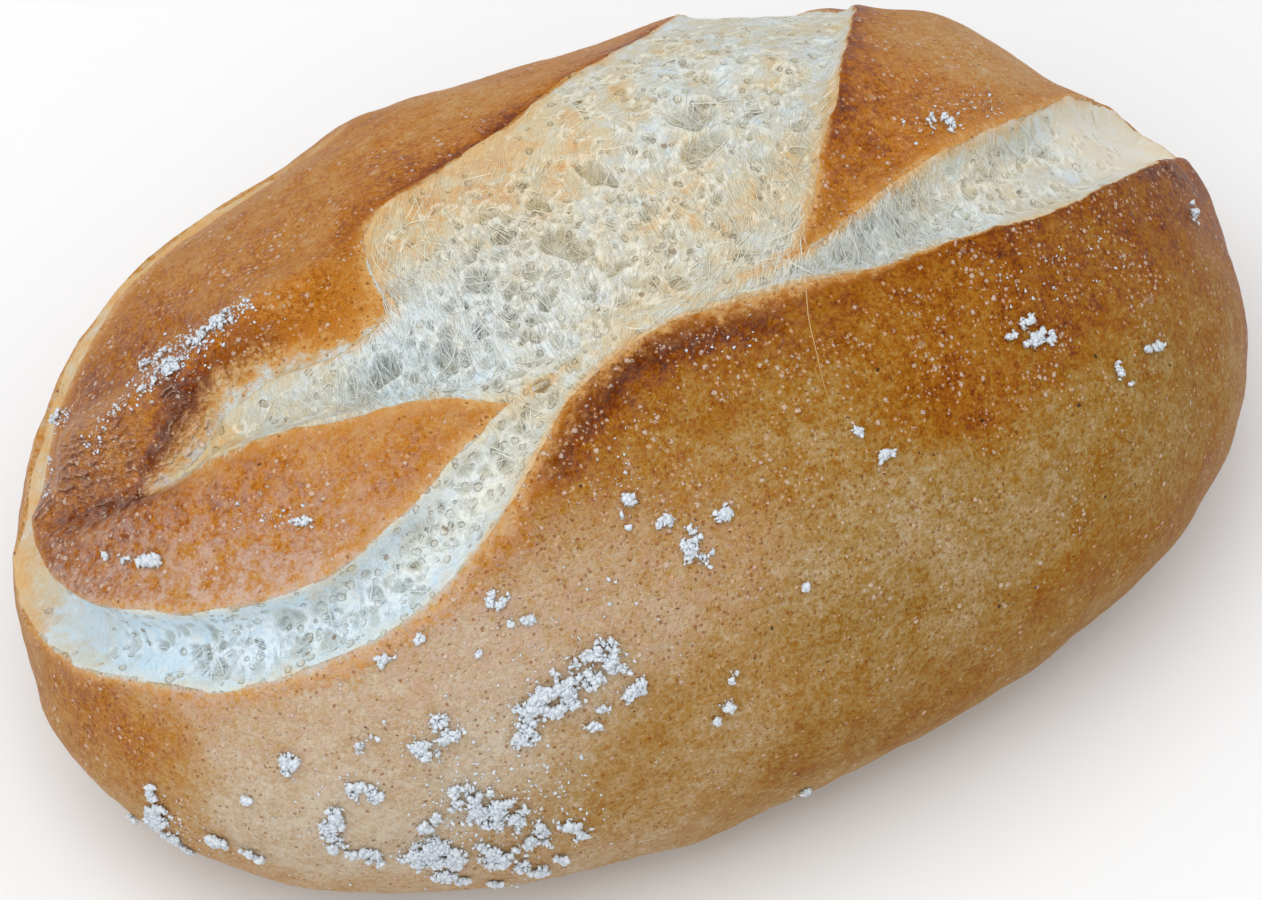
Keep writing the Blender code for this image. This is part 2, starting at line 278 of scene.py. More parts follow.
def softNoise(points):
    # smooth noise between about -1 and 1, one bump to a unit
    home = np.floor(points)
    t = points - home
    ease = t * t * t * (t * (t * 6 - 15) + 10)
    total = np.zeros(len(points))
    for corner in product((0, 1), repeat=3):
        pull = np.stack([chance(home + corner, salt) for salt in (1, 2, 3)], axis=1) * 2 - 1
        weight = np.prod(np.where(corner, ease, 1 - ease), axis=1)
        total += weight * np.einsum("ij,ij->i", pull, t - corner)
    return total * 1.7


def roughNoise(points, size, octaves=2, roughness=0.5):
    total = np.zeros(len(points))
    for k in range(octaves):
        total += softNoise(points / size * 2 ** k + 17.3 * k) * roughness ** k
    return total


def wobble(points, size, amount):
    shifts = [roughNoise(points + shift, size) for shift in (0.1, 0.2, 0.3)]
    return points + np.stack(shifts, axis=1) * amount


def scatteredCells(points, size):
    # distance to the nearest of scattered spots, in sizes, and two numbers of that spot's own
    spots = points / size
    home = np.floor(spots)
    nearest = np.full(len(points), 9.0)
    own = np.zeros((2, len(points)))
    for offset in product((-1, 0, 1), repeat=3):
        cell = home + offset
        centre = cell + np.stack([chance(cell, salt) for salt in (4, 5, 6)], axis=1)
        away = np.linalg.norm(spots - centre, axis=1)
        nearer = away < nearest
        nearest[nearer] = away[nearer]
        own[0, nearer] = chance(cell[nearer], 7)
        own[1, nearer] = chance(cell[nearer], 8)
    return nearest, own[0], own[1]


def unevenness(points):
    # the lumps and broad swellings of the whole roll
    size = form["lumpSize"]
    lumps = np.array([noise.fractal(Vector(p / size), 0.6, 2.0, 2) for p in points])
    height = form["lumpHeight"] * lumps
    for placeA, placeB, reach, rise in form["swellings"]:
        centre = rollPoint(np.array([placeA]), np.array([placeB]))
        away = np.linalg.norm(points - centre, axis=1)
        height += rise * mm * np.exp(-((away / (reach * mm)) ** 2))
    return height


def addAttribute(mesh, name, values):
    mesh.attributes.new(name, "FLOAT", "POINT").data.foreach_set("value", values.astype(np.float32))


def addPiece(name, mesh, material):
    mesh.shade_smooth()
    mesh.materials.append(material)
    piece = bpy.data.objects.new(name, mesh)
    bpy.context.scene.collection.objects.link(piece)
    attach(piece, "root")
    print(name + ":", sum(len(p.vertices) - 2 for p in mesh.polygons), "triangles")
    return piece


def addSolid(name, verts, faces, material):
    mesh = bpy.data.meshes.new(name)
    mesh.from_pydata(verts, [], faces)
    return addPiece(name, mesh, material)


def surfaceTree(piece):
    mesh = piece.data
    return BVHTree.FromPolygons(
        [tuple(v.co) for v in mesh.vertices], [tuple(p.vertices) for p in mesh.polygons]
    )


# The browned crust.
crust = {
    "ballCuts": 6,
    "upperRing": 1.3,
    "fineBand": 0.0046,
    "finestBand": (-0.0017, 0.0012),
    "noseBand": 0.0060,
    "snap": 0.00012,
    # the edge hangs over by this much where the crust stands off the crumb, and it is ragged
    "overhang": 0.0003,
    "overhangReach": 0.0006,
    "ragged": 0.00016,
    "raggedSize": 0.0022,
    "raggedReach": 0.0015,
    "leastRagged": 0.15,
    "tuckUnder": 0.0026,
    "tuckReach": 0.0006,
    "skinHeight": 0.00012,
    "skinSize": 0.0035,
    # folds and creases: places along each, height, half width on its back and front side, in mm
    "folds": [
        ([(-0.60, 0.165), (-0.55, 0.140), (-0.493, 0.124), (-0.44, 0.121), (-0.39, 0.130),
          (-0.34, 0.136), (-0.29, 0.132), (-0.26, 0.125)],
         3.4, 4.4, 2.4),
        ([(-0.70, 0.13), (-0.62, 0.062), (-0.56, 0.030), (-0.50, 0.020), (-0.44, 0.048)],
         -1.4, 1.6, 1.4),
        ([(-0.66, 0.145), (-0.60, 0.100), (-0.55, 0.075)], -0.6, 1.0, 1.0),
    ],
    # fine wrinkles run beside the crease: where they are strongest, how far they reach, their
    # share on the wedge's side and the a where they end
    "wrinkledAt": 0.0035,
    "wrinkleReach": 0.0042,
    "wedgeWrinkles": 0.2,
    "wrinklesEnd": -0.44,
    # at places well away from the tear: how brown (0 pale to 1 nearly black), how orange rather
    # than olive, how dusty with flour and, on the left wedge and the nose, how strong a painted
    # pinkish sheen, share of light blisters, at the nose also painted glints, and share of bran
    "skin": [
        (-0.2, -0.75, 0.42, 0.2, 0.05, 0.15, 0.25), (0.15, -0.6, 0.42, 0, 0, 0.2, 0.45),
        (0.45, -0.45, 0.52, 0, 0, 0.3, 0.3), (0.7, -0.3, 0.57, 0.1, 0.05, 0.35, 0.2),
        (0.05, -0.3, 0.5, 0.1, 0, 0.45, 0.5), (0.22, -0.26, 0.71, 0.4, 0, 0.6, 0.4),
        (0.4, -0.28, 0.74, 0.2, 0.06, 1, 0.3), (0.01, -0.2, 0.68, 0.2, 0.12, 1.2, 0.3),
        (0.6, -0.16, 0.76, 0.2, 0.04, 0.6, 0.2), (-0.08, -0.28, 0.6, 0.3, 0.02, 0.7, 0.4),
        (-0.15, -0.42, 0.36, 0.4, 0.45, 0.45, 0.3), (-0.35, -0.6, 0.1, 0.2, 0.2, 0.3, 0.15),
        (-0.6, -0.6, 0.07, 0.3, 0.2, 0.3, 0.15), (-0.5, -0.44, 0.18, 0.5, 0.45, 0.4, 0.1),
        (-0.32, -0.46, 0.16, 0.4, 0.75, 0.35, 0.15), (-0.8, -0.28, 0.66, 0.6, 0.1, 0.6, 0.3),
        (-0.88, -0.42, 0.42, 0.5, 0.15, 0.4, 0.2), (-0.96, 0, 0.6, 0.5, 0.1, 0.5, 0.2),
        (0.1, -0.95, 0.58, 0.1, 0, 0.1, 0.4), (0.5, -0.85, 0.58, 0.1, 0, 0.1, 0.2),
        (0.8, -0.02, 0.8, 0.7, 0, 0.3, 0.2), (0.85, -0.25, 0.8, 0.5, 0.06, 0.3, 0.1),
        (-0.46, -0.06, 0.7, 1, 0, 0.5, 0.04), (-0.36, -0.1, 0.66, 1, 0, 0.4, 0.04),
        (-0.28, -0.14, 0.5, 1, 0, 0.2, 0.04), (-0.6, -0.08, 0.78, 0.8, 0.75, 0.4, 0.04),
        (-0.54, -0.19, 0.34, 0.8, 1, 0.4, 0.04), (-0.44, -0.14, 0.8, 0.9, 0.6, 0.5, 0.04),
        (-0.46, -0.2, 0.56, 0.8, 1.3, 0.5, 0.04), (-0.34, -0.19, 0.62, 0.8, 0.85, 0.5, 0.04),
        (-0.42, 0.24, 0.68, 0.7, 0.35, 1, 0.2), (-0.62, 0.15, 0.74, 0.7, 0.28, 1.2, 0.2),
        (-0.5, 0.12, 0.8, 0.7, 0.15, 0.5, 0.15), (-0.4, 0.26, 0.68, 0.8, 0.1, 0.5, 0.15),
        (-0.55, 0.28, 0.66, 0.7, 0.1, 0.4, 0.15), (-0.15, 0.34, 0.55, 0.9, 0.05, 0.3, 0.1),
        (-0.28, 0.12, 0.54, 1, 0, 0.3, 0.25), (-0.28, 0.3, 0.56, 0.8, 0.15, 0.4, 0.1),
        (0, 0.45, 0.54, 0.9, 0, 0.2, 0.05), (0.3, 0.08, 0.62, 0.9, 0.1, 0.3, 0.05),
        (0.45, 0.2, 0.38, 0.8, 0.15, 0.9, 0.05), (0.55, 0.3, 0.46, 0.8, 0.05, 0.2, 0.05),
        (0.45, 0.42, 0.58, 0.6, 0.05, 0.2, 0.05), (0, 0.85, 0.5, 0.6, 0.05, 0.1, 0.1),
        (-0.45, 0.78, 0.48, 0.6, 0.05, 0.1, 0.1), (0.5, 0.7, 0.52, 0.5, 0, 0.1, 0.1),
        (0.95, 0.4, 0.54, 0.4, 0, 0.1, 0.1), (0, -1.3, 0.44, 0.2, 0.05, 0.05, 0.2),
        (0, 1.3, 0.4, 0.4, 0.05, 0.05, 0.1), (1.3, 0, 0.46, 0.3, 0.05, 0.05, 0.1),
        (-1.3, 0, 0.4, 0.4, 0.05, 0.05, 0.1), (0, 1.9, 0.5, 0.4, 0.1, 0, 0.1),
        (0, -1.9, 0.5, 0.4, 0.1, 0, 0.1), (1.9, 0, 0.5, 0.4, 0.1, 0, 0.1),
        (-1.9, 0, 0.5, 0.4, 0.1, 0, 0.1),
    ],
    # darker or lighter bands: places along each, half width in mm, change of the browning; the
    # first is partly painted shade and the second is painted shade
    "bands": [
        # the fold's steep front face: darker browning and painted shade
        ([(-0.54, 0.040), (-0.50, 0.066), (-0.46, 0.080), (-0.42, 0.084), (-0.366, 0.090),
          (-0.335, 0.092)], 1.4, 0.26),
        # along the crease: painted shade
        ([(-0.70, 0.13), (-0.626, 0.071), (-0.541, 0.010), (-0.499, 0.018)], 0.7, 0.22),
        ([(-0.60, 0.19), (-0.50, 0.17), (-0.42, 0.20)], 2.4, -0.08),
        ([(-0.56, 0.10), (-0.51, 0.09), (-0.48, 0.10)], 1.0, -0.10),
        ([(-0.475, -0.030), (-0.45, -0.036)], 1.0, -0.20),
        ([(-0.15, -0.26), (-0.10, -0.215), (-0.05, -0.188), (0.00, -0.178), (0.06, -0.185)],
         1.6, 0.16),
    ],
    "skinReach": 0.11,
    "skinSpill": 0.003,
    "rimReach": 2.1,  # mm
    "narrowest": 0.15,  # mm
}


def ballMap(ball):
    directions = np.array([v.co for v in ball.verts])
    directions /= np.linalg.norm(directions, axis=1, keepdims=True)
    ring = np.arccos(np.clip(directions[:, 2], -1, 1)) / (pi / 2)
    turn = np.arctan2(directions[:, 1], directions[:, 0])
    return ring * np.cos(turn), ring * np.sin(turn)


def makeBall():
    # a ball whose triangles are finer above, finer again beside the tear and at the folds
    ball = bmesh.new()
    bmesh.ops.create_icosphere(ball, subdivisions=crust["ballCuts"], radius=1)
    low, high = crust["finestBand"]
    for level in range(3):
        a, b = ballMap(ball)
        points = rollPoint(a, b)
        depth = tearDepth(a, b, points)[0] - slashes["overEdge"]
        if level == 0:
            near = np.hypot(a, b) < crust["upperRing"]
        elif level == 1:
            near = (depth > -crust["fineBand"]) & (depth < crust["fineBand"] / 2)
            for places, *_ in crust["folds"]:
                near |= stepToLine(points, smoothLine(places))[1] < crust["noseBand"]
        else:
            near = (depth > low) & (depth < high)
        edges = [e for e in ball.edges if near[e.verts[0].index] and near[e.verts[1].index]]
        bmesh.ops.subdivide_edges(ball, edges=edges, cuts=1, use_grid_fill=True)
        for v in ball.verts:
            v.co.normalize()
        ball.verts.index_update()
    bmesh.ops.triangulate(ball, faces=ball.faces)
    return ball


def acrossEdge(depth, lip, level):
    # height across the crust's edge: up to its lip, rounded over, and down to the crumb's level
    crest = slashes["crestRound"]
    away = np.sqrt(depth ** 2 + crest ** 2) - crest
    reach = np.where(depth < 0, slashes["lipReach"], slashes["lipCurl"])
    down = np.where(depth > 0, 1 - np.exp(-((depth / slashes["crumbDrop"]) ** 2)), 0)
    return lip * np.exp(-away / reach) * (1 - down) + level * down


def commonHeight(a, b, points, normal, depth):
    # what the crust and the crumb share: the edge, the folds and the unevenness of the roll
    lip = blendPlaces(a, b, slashes["lips"])[0] * mm
    level = blendPlaces(a, b, crumb["levels"])[0] * mm
    height = acrossEdge(depth, lip, level) + unevenness(points)
    for places, rise, backWidth, frontWidth in crust["folds"]:
        step, away, way = stepToLine(points, smoothLine(places))
        inFront = np.einsum("ij,ij->i", np.cross(way, step), normal) / np.maximum(away, 1e-9)
        width = between(backWidth, frontWidth, swell(inFront, -1, 1)) * mm
        height += rise * mm * np.exp(-((away / width) ** 2))
    return height


def makeCrust():
    ball = makeBall()
    a, b = ballMap(ball)
    points = rollPoint(a, b)
    normal = rollNormal(a, b)
    depth, _, inward = tearDepth(a, b, points)
    past = depth - slashes["overEdge"]
    snapped = np.abs(past) < crust["snap"]
    points = points - np.where(snapped, past, 0)[:, None] * inward
    past[snapped] = 0

    height = commonHeight(a, b, points, normal, past + slashes["overEdge"])
    skin = crust["skinHeight"] * roughNoise(points, crust["skinSize"], 3)
    tuckReach = crust["tuckReach"]
    height += skin * swell(-past, 0, tuckReach) - crust["tuckUnder"] * swell(past, 0, tuckReach)
    cream, gold, _, _, rim, gap = blendPlaces(a, b, slashes["edges"])
    overhang = crust["overhang"] * swell(gap, 0.1, 0.8)
    overhang *= np.exp(-((past / crust["overhangReach"]) ** 2))
    ragged = crust["ragged"] * roughNoise(points, crust["raggedSize"], 3, 0.7)
    ragged *= np.exp(-((past / crust["raggedReach"]) ** 2))
    ragged *= between(crust["leastRagged"], 1, swell(gap, 0, 0.15))
    placed = points + height[:, None] * normal + (overhang + ragged)[:, None] * inward
    placed[:, 2] = np.maximum(placed[:, 2], 0)

    mesh = bpy.data.meshes.new("crust")
    tucked = [any(past[v.index] > 0 for v in f.verts) for f in ball.faces]
    ball.faces.index_update()
    for edge in ball.edges:
        edge.smooth = len({tucked[f.index] for f in edge.link_faces}) == 1
    ball.to_mesh(mesh)
    ball.free()
    mesh.vertices.foreach_set("co", placed.ravel())
    bakedAndShaded, warm, dustAndSheen, blistersAndGlints, bran = blendPlaces(
        a, b, crust["skin"], reach=crust["skinReach"], spill=crust["skinSpill"]
    )
    behind = np.maximum(-past, 0) / mm
    narrowest = crust["narrowest"]
    rimShare = np.exp(-np.maximum(behind - cream - gold / 2, 0) / crust["rimReach"])
    bakedAndShaded += (rim - bakedAndShaded) * rimShare
    # bands of browning, the first two with painted shade on the fold's front face and in the crease
    for places, halfWidth, change in crust["bands"]:
        away = stepToLine(rollPoint(a, b), smoothLine(places))[1]
        bakedAndShaded += change * np.exp(-((away / (halfWidth * mm)) ** 2))
    towards, fromCrease, way = stepToLine(rollPoint(a, b), smoothLine(crust["folds"][1][0]))
    onWedge = np.einsum("ij,ij->i", np.cross(way, towards), normal) > 0
    wrinkled = np.exp(-((fromCrease - crust["wrinkledAt"]) / crust["wrinkleReach"]) ** 2)
    wrinkled *= (a < crust["wrinklesEnd"]) * np.where(onWedge, crust["wedgeWrinkles"], 1)
    for name, values in {
        "browningAndShade": bakedAndShaded, "warm": warm, "dustAndSheen": dustAndSheen, "blistersAndGlints": blistersAndGlints, "bran": bran,
        "cream": (cream - behind) / np.maximum(cream, narrowest),
        "gold": (cream + gold - behind) / np.maximum(gold, narrowest),
        "fromCrease": fromCrease / mm, "wrinkled": wrinkled,
    }.items():
        addAttribute(mesh, name, values)
    piece = addPiece("crust", mesh, crustMaterial())
    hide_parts("roll")
    return piece


# The torn crumb.
crumb = {
    "gridStep": 0.000208,
    "margin": 0.0009,
    "skirt": 0.0035,
    "under": 0.0008,
    "gapReach": 0.0013,
    "coarseStep": 6,
    "coarseMargin": 0.004,
    # level of the crumb at places in the tear, in mm; it is set against the unslashed roll
    "levels": [
        (-0.4, 0.57, -2.4), (-0.66, 0.42, -1.4), (-0.8, 0.18, -2.2), (-0.78, -0.04, -2.8),
        (-0.6, -0.25, -2.4), (-0.42, -0.31, -2.2), (-0.28, -0.29, -2), (-0.18, -0.2, -1.6),
        (-0.05, -0.09, -1), (0.06, -0.11, -1.2), (0.14, -0.12, -2), (0.3, -0.09, -1.7),
        (0.45, -0.05, -1.8), (0.62, 0.02, -1.6), (0.8, 0.08, -1.6), (-0.51, 0.022, -3),
        (-0.42, 0, -3), (-0.4, 0.04, -0.2), (-0.3, -0.05, -2.8), (-0.3, 0.03, 0),
        (-0.2, -0.08, -1.8), (-0.18, 0.04, -0.4), (-0.18, 0.14, 0), (-0.05, 0.1, -1),
        (0.06, 0.02, -1.2), (0.12, 0.14, -0.8), (0.05, 0.24, 0.4), (0.2, 0.28, 0.6),
        (0.22, 0.42, 0.8), (0.3, 0.58, 0.2), (0.36, 0.76, -0.6),
    ],
    # at places in the tear: share of open pores, strength of the fibres, their direction in
    # degrees, colour from -1 bluish white, a painted cool light, through 0 cream to 1 golden, and
    # how much painted light lifts it where it lies in shade
    "kinds": [
        (-0.84, 0.15, 0, 0.2, 60, 0.4, 0.3), (-0.78, -0.04, 0.15, 0.2, 60, -0.6, 0.2),
        (-0.66, -0.2, 0.4, 0.2, 80, -1, 0.1), (-0.5, -0.28, 0.6, 0.2, 100, -1, 0.1),
        (-0.4, -0.31, 0.7, 0.2, 110, -1, 0.1), (-0.28, -0.28, 0.75, 0.2, 130, -0.4, 0.2),
        (-0.21, -0.21, 0.75, 0.2, 140, -0.1, 0.2), (-0.14, -0.15, 0.6, 0.4, 120, 0.2, 0.1),
        (-0.48, 0.02, 0.1, 0.3, 70, 0.7, 0), (-0.37, 0, 0.15, 0.4, 70, -0.3, 0.1),
        (-0.41, 0.045, 0.06, 0.3, 70, 0.7, 0), (-0.34, 0.05, 0.06, 0.3, 70, 0.8, 0),
        (-0.29, -0.03, 0.35, 0.7, 80, -0.3, 0.1), (-0.22, -0.03, 0.4, 0.9, 95, -0.7, 0.2),
        (-0.17, 0.03, 0.1, 1, 100, -0.5, 0.4), (-0.18, 0.12, 0.1, 0.5, 60, 0.8, 0),
        (-0.1, 0.02, 0.6, 0.6, 110, -0.1, 0.3), (-0.12, -0.04, 0.65, 0.6, 100, -0.5, 0.3),
        (-0.03, 0.03, 0.5, 0.5, 110, 0.3, 0.1), (-0.06, 0.12, 0.32, 0.5, 115, 0.6, 0.1),
        (0, 0.2, 0.15, 0.3, 30, 0.6, 0.1), (-0.08, 0.2, 0.1, 0.4, 40, 1, 0.1),
        (-0.02, -0.08, 0.4, 0.5, 30, 0.4, 0.1), (0.06, -0.07, 0.4, 0.6, 20, 0.5, 0.1),
        (0.06, 0.02, 0.25, 0.5, 100, 0.5, 0.1), (0.14, 0.04, 0.1, 0.6, 90, 0.5, 0.1),
        (0.1, 0.12, 0.35, 0.5, 60, -0.4, 0.1), (0.16, 0.18, 0.3, 0.4, 40, 0.1, 0.1),
        (0.1, 0.26, 0.3, 0.3, 20, 0.1, 0), (0.22, 0.32, 0.2, 0.3, 20, 0.1, 0),
        (0.24, 0.45, 0.12, 0.2, 20, 0, 0), (0.32, 0.65, 0.05, 0.2, 20, 0, 0),
        (0.12, -0.12, 0.2, 1, 80, -0.5, 0.4), (0.22, -0.1, 0.3, 0.8, 90, -0.3, 0.3),
        (0.32, -0.07, 0.3, 0.3, 100, 0.1, 0.2), (0.45, -0.03, 0.3, 0.2, 100, -0.1, 0.2),
        (0.58, 0.02, 0.12, 0.1, 100, 0.2, 0.8), (0.75, 0.07, 0, 0, 100, 0.2, 1),
        (-0.5, 0.5, 0, 0.2, 30, 0.6, 0.1),
    ],
    # size and depth of the pores, and how porous the crumb has to be for them
    "poreSizes": [(0.0032, 0.00085, 0.45), (0.0019, 0.00055, 0.15), (0.0012, 0.00036, 0.0)],
    "wallWidth": 0.00018,
    "lumpHeight": 0.00032,
    "lumpSize": 0.0060,
    # how the pores, the hollows and the fibres are bent out of line: size and amount
    "poreBend": (0.0030, 0.0007),
    "hollowBend": (0.0026, 0.0006),
    "fibreBend": (0.0030, 0.0009),
    "fibreWays": (20, 55, 90, 125),
    "fibreSpread": 24,
    "fibreSizes": [(0.0013, 0.00009), (0.00060, 0.00006)],  # width and height
    "fibreLength": 7,
    # single hollows: place, long and short half width in mm, direction in degrees, depth in mm
    "hollows": [
        (0, 0.12, 3, 1.3, -65, 1.4), (-0.05, 0.11, 1.6, 1, -50, 1.1),
        (-0.05, 0.03, 3.2, 1.6, -60, 1.6), (-0.13, 0.03, 1.8, 1.4, 90, 0.9),
        (-0.11, -0.005, 1, 0.9, 0, 0.9), (-0.15, -0.03, 0.8, 0.6, 90, 1),
        (-0.12, -0.035, 0.9, 0.6, 20, 1), (-0.08, -0.03, 1.4, 0.6, 40, 0.9),
        (0.015, -0.08, 1.4, 1, -50, 1.2), (-0.12, -0.14, 0.9, 0.8, 0, 0.9),
        (-0.09, -0.13, 1.2, 1, 60, 0.8), (-0.09, 0.08, 1.6, 1, 0, 1),
        (-0.25, -0.02, 2.2, 1.4, 20, 1.2), (-0.19, -0.045, 2, 1.1, 80, 1.1),
        (0.02, 0.03, 1.3, 0.7, 60, 0.9), (0.1, 0.16, 3, 2.2, 0, 1), (0.09, 0.1, 3.4, 1.5, 20, 1),
        (-0.02, -0.02, 1.6, 0.6, 20, 0.8), (-0.06, 0.16, 1.2, 0.9, 0, 0.8),
        (0.36, -0.05, 2.4, 1, 10, 0.6), (0.48, -0.01, 2, 0.9, 10, 0.7),
        (0.24, -0.07, 1.4, 0.9, 100, 0.5), (0.18, -0.09, 1.2, 0.8, 100, 0.5),
        (0.3, 0.62, 3, 1.6, 0, 0.8),
    ],
}


def alongFibres(points, degrees):
    way = np.array([cos(radians(degrees)), sin(radians(degrees)), 0])
    side = np.array([-way[1], way[0], 0])
    return np.stack([points @ way, points @ side, points[:, 2]], axis=1)


def fibreShares(direction):
    # how much of the fibres runs each of the few ways that are drawn
    turned = [(direction - way + 90) % 180 - 90 for way in crumb["fibreWays"]]
    return [np.exp(-((turn / crumb["fibreSpread"]) ** 2)) for turn in turned]


def crumbTexture(points, depth, porosity, strength, direction):
    # height of the torn crumb over its smooth level, how hollow it is there, and its pores' walls
    inside = swell(depth, 0.0005, 0.0020)
    height = crumb["lumpHeight"] * roughNoise(points, crumb["lumpSize"], 3, 0.45)
    hollow = np.zeros(len(points))
    web = np.zeros(len(points))
    bent = wobble(points, *crumb["poreBend"])
    for size, deep, rarer in crumb["poreSizes"]:
        away, own, other = scatteredCells(bent, size)
        reach = 0.34 + 0.26 * own
        pore = (other < 1.6 * (porosity - rarer)) * inside
        cup = (1 - swell(away / reach, 0.5, 1.0)) * pore
        wall = np.exp(-(((away - 1.05 * reach) * size / crumb["wallWidth"]) ** 2)) * pore
        height += (0.12 * wall - cup) * deep * (0.6 + 0.5 * strength)
        web = np.maximum(web, wall)
        hollow = np.maximum(hollow, cup * deep / crumb["poreSizes"][0][1])
    bent = wobble(points, *crumb["hollowBend"])
    for placeA, placeB, longHalf, shortHalf, degrees, deep in crumb["hollows"]:
        centre = rollPoint(np.array([placeA]), np.array([placeB]))
        turned = alongFibres(bent - centre, degrees) / mm
        away = np.hypot(turned[:, 0] / longHalf, turned[:, 1] / shortHalf)
        cup = 1 - swell(away, 0.55, 1.0)
        rim = np.exp(-((away - 1.10) / 0.14) ** 2)
        height += (0.20 * rim - cup) * deep * mm * 0.8
        web = np.maximum(web, rim * 0.7)
        hollow = np.maximum(hollow, cup * deep / 1.5)
    bent = wobble(points, *crumb["fibreBend"])
    ridges = np.zeros(len(points))
    for degrees, share in zip(crumb["fibreWays"], fibreShares(direction)):
        turned = alongFibres(bent, degrees)
        for size, rise in crumb["fibreSizes"]:
            stretched = (size * crumb["fibreLength"], size, size * 2)
            ridge = 1 - np.abs(softNoise(turned / stretched))
            ridges += share * rise * np.clip(ridge, 0, 1) ** 3
    height += ridges * strength * swell(depth, 0, 0.0010)
    return height, hollow, web


def makeCrumb():
    stepSize = crumb["gridStep"] * 1
    gridA = np.arange(-0.95, 0.95, stepSize / (form["length"] / 2 * 1.25))
    gridB = np.arange(-0.45, 1.05, stepSize / (form["width"] / 2 * 1.48))
    rows, columns = len(gridA), len(gridB)
    a, b = [grid.ravel() for grid in np.meshgrid(gridA, gridB, indexing="ij")]
    # a coarse look first, so that the close one leaves out what is far from the tear
    every = crumb["coarseStep"]
    coarse = [g.ravel() for g in np.meshgrid(gridA[::every], gridB[::every], indexing="ij")]
    coarseDepth = tearDepth(*coarse, rollPoint(*coarse))[0].reshape(len(gridA[::every]), -1)
    nearby = np.repeat(coarseDepth > -crumb["coarseMargin"], every, axis=0)
    nearby = np.repeat(nearby, every, axis=1)
    nearby = nearby[:rows, :columns].ravel()
    depth = np.full(len(a), -1.0)
    depth[nearby] = tearDepth(a[nearby], b[nearby], rollPoint(a[nearby], b[nearby]))[0]
    kept = depth > -crumb["margin"]
    number = np.full(len(a), -1)
    number[kept] = np.arange(kept.sum())
    number = number.reshape(rows, columns)
    corners = [number[:-1, :-1], number[1:, :-1], number[1:, 1:], number[:-1, 1:]]
    faces = np.stack(corners, axis=-1).reshape(-1, 4)
    faces = faces[(faces >= 0).all(axis=1)]

    a, b, depth = a[kept], b[kept], depth[kept]
    points = rollPoint(a, b)
    normal = rollNormal(a, b)
    porosity, strength, direction, colour, paintedLight = blendPlaces(a, b, crumb["kinds"])
    _, _, cream, toast, _, gap = blendPlaces(a, b, slashes["edges"])
    texture, hollow, web = crumbTexture(points, depth, porosity, strength, direction)
    past = depth - slashes["overEdge"]
    height = commonHeight(a, b, points, normal, depth) + texture
    height -= gap * mm * np.exp(-(np.maximum(depth, 0) / crumb["gapReach"]) ** 2)
    height -= crumb["under"] * swell(-past, 0.0001, 0.0009)
    height -= 0.0010 * swell(-depth, 0, 0.0008)
    placed = points + height[:, None] * normal

    mesh = bpy.data.meshes.new("crumb")
    mesh.from_pydata(placed.tolist(), [], faces.tolist())
    toasted = 1 - past / mm / np.maximum(toast, 0.1)
    for name, values in {
        "cream": 1 - past / mm / cream, "toast": np.minimum(toasted, 1) * swell(toast, 0.1, 0.5),
        "hollow": hollow, "web": web, "raised": texture / mm, "colour": colour, "paintedLight": paintedLight,
        "porous": porosity,
        **{"fibres" + str(k): share * strength for k, share in enumerate(fibreShares(direction))},
    }.items():
        addAttribute(mesh, name, values)
    closeUnder(mesh, placed - crumb["skirt"] * normal)
    piece = addPiece("crumb", mesh, crumbMaterial())
    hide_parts("roll")
    kinds = np.stack([strength, direction, colour, hollow], axis=1)
    return piece, placed, kinds, past


def closeUnder(mesh, lower):
    # a skirt down from the sheet's rim and a floor across it make the crumb one closed body
    sheet = bmesh.new()
    sheet.from_mesh(mesh)
    sheet.verts.ensure_lookup_table()
    rim = [e for e in sheet.edges if e.is_boundary]
    skirt = bmesh.ops.extrude_edge_only(sheet, edges=rim)["geom"]
    added = [g for g in skirt if isinstance(g, bmesh.types.BMVert)]
    sheet.verts.index_update()
    for v in added:
        joined = [e.other_vert(v).index for e in v.link_edges]
        v.co = lower[[number for number in joined if number < len(lower)][0]]
    rim = [e for e in sheet.edges if e.is_boundary]
    bmesh.ops.triangle_fill(sheet, edges=rim, use_beauty=False)
    bmesh.ops.delete(sheet, geom=[v for v in sheet.verts if not v.link_faces], context="VERTS")
    bmesh.ops.recalc_face_normals(sheet, faces=sheet.faces)
    sheet.to_mesh(mesh)
    sheet.free()


# Gluten threads pulled across the torn crumb.
threads = {
    "count": 5800,
    "shortest": 0.0012,
    "longest": 0.0064,
    "thinnest": 0.000022,
    "thickest": 0.000080,
    "sides": 3,
    "rings": 6,
    "bow": 0.08,
    "fan": 18,
    "startDepth": 0.0006,
    "deepestSpan": 0.0016,
    "lift": 0.00002,
    "sunkenEnds": 0.00008,
    "atPores": 0.30,  # share that cross a pore
    "poreHollow": (0.03, 0.35),
    "poreFan": 2.2,
    # the bluish tone is painted cool light, as on the crumb
    "tones": ((222, 232, 236), (236, 222, 186)),  # as seen on screen, 0 to 255
    "toneRange": (-0.8, 0.8),
    "roughness": 0.4,
}


def surfaceUnder(tree, point):
    hit = tree.ray_cast(Vector((point[0], point[1], 0.08)), Vector((0, 0, -1)))
    return hit[0].z if hit[0] else None


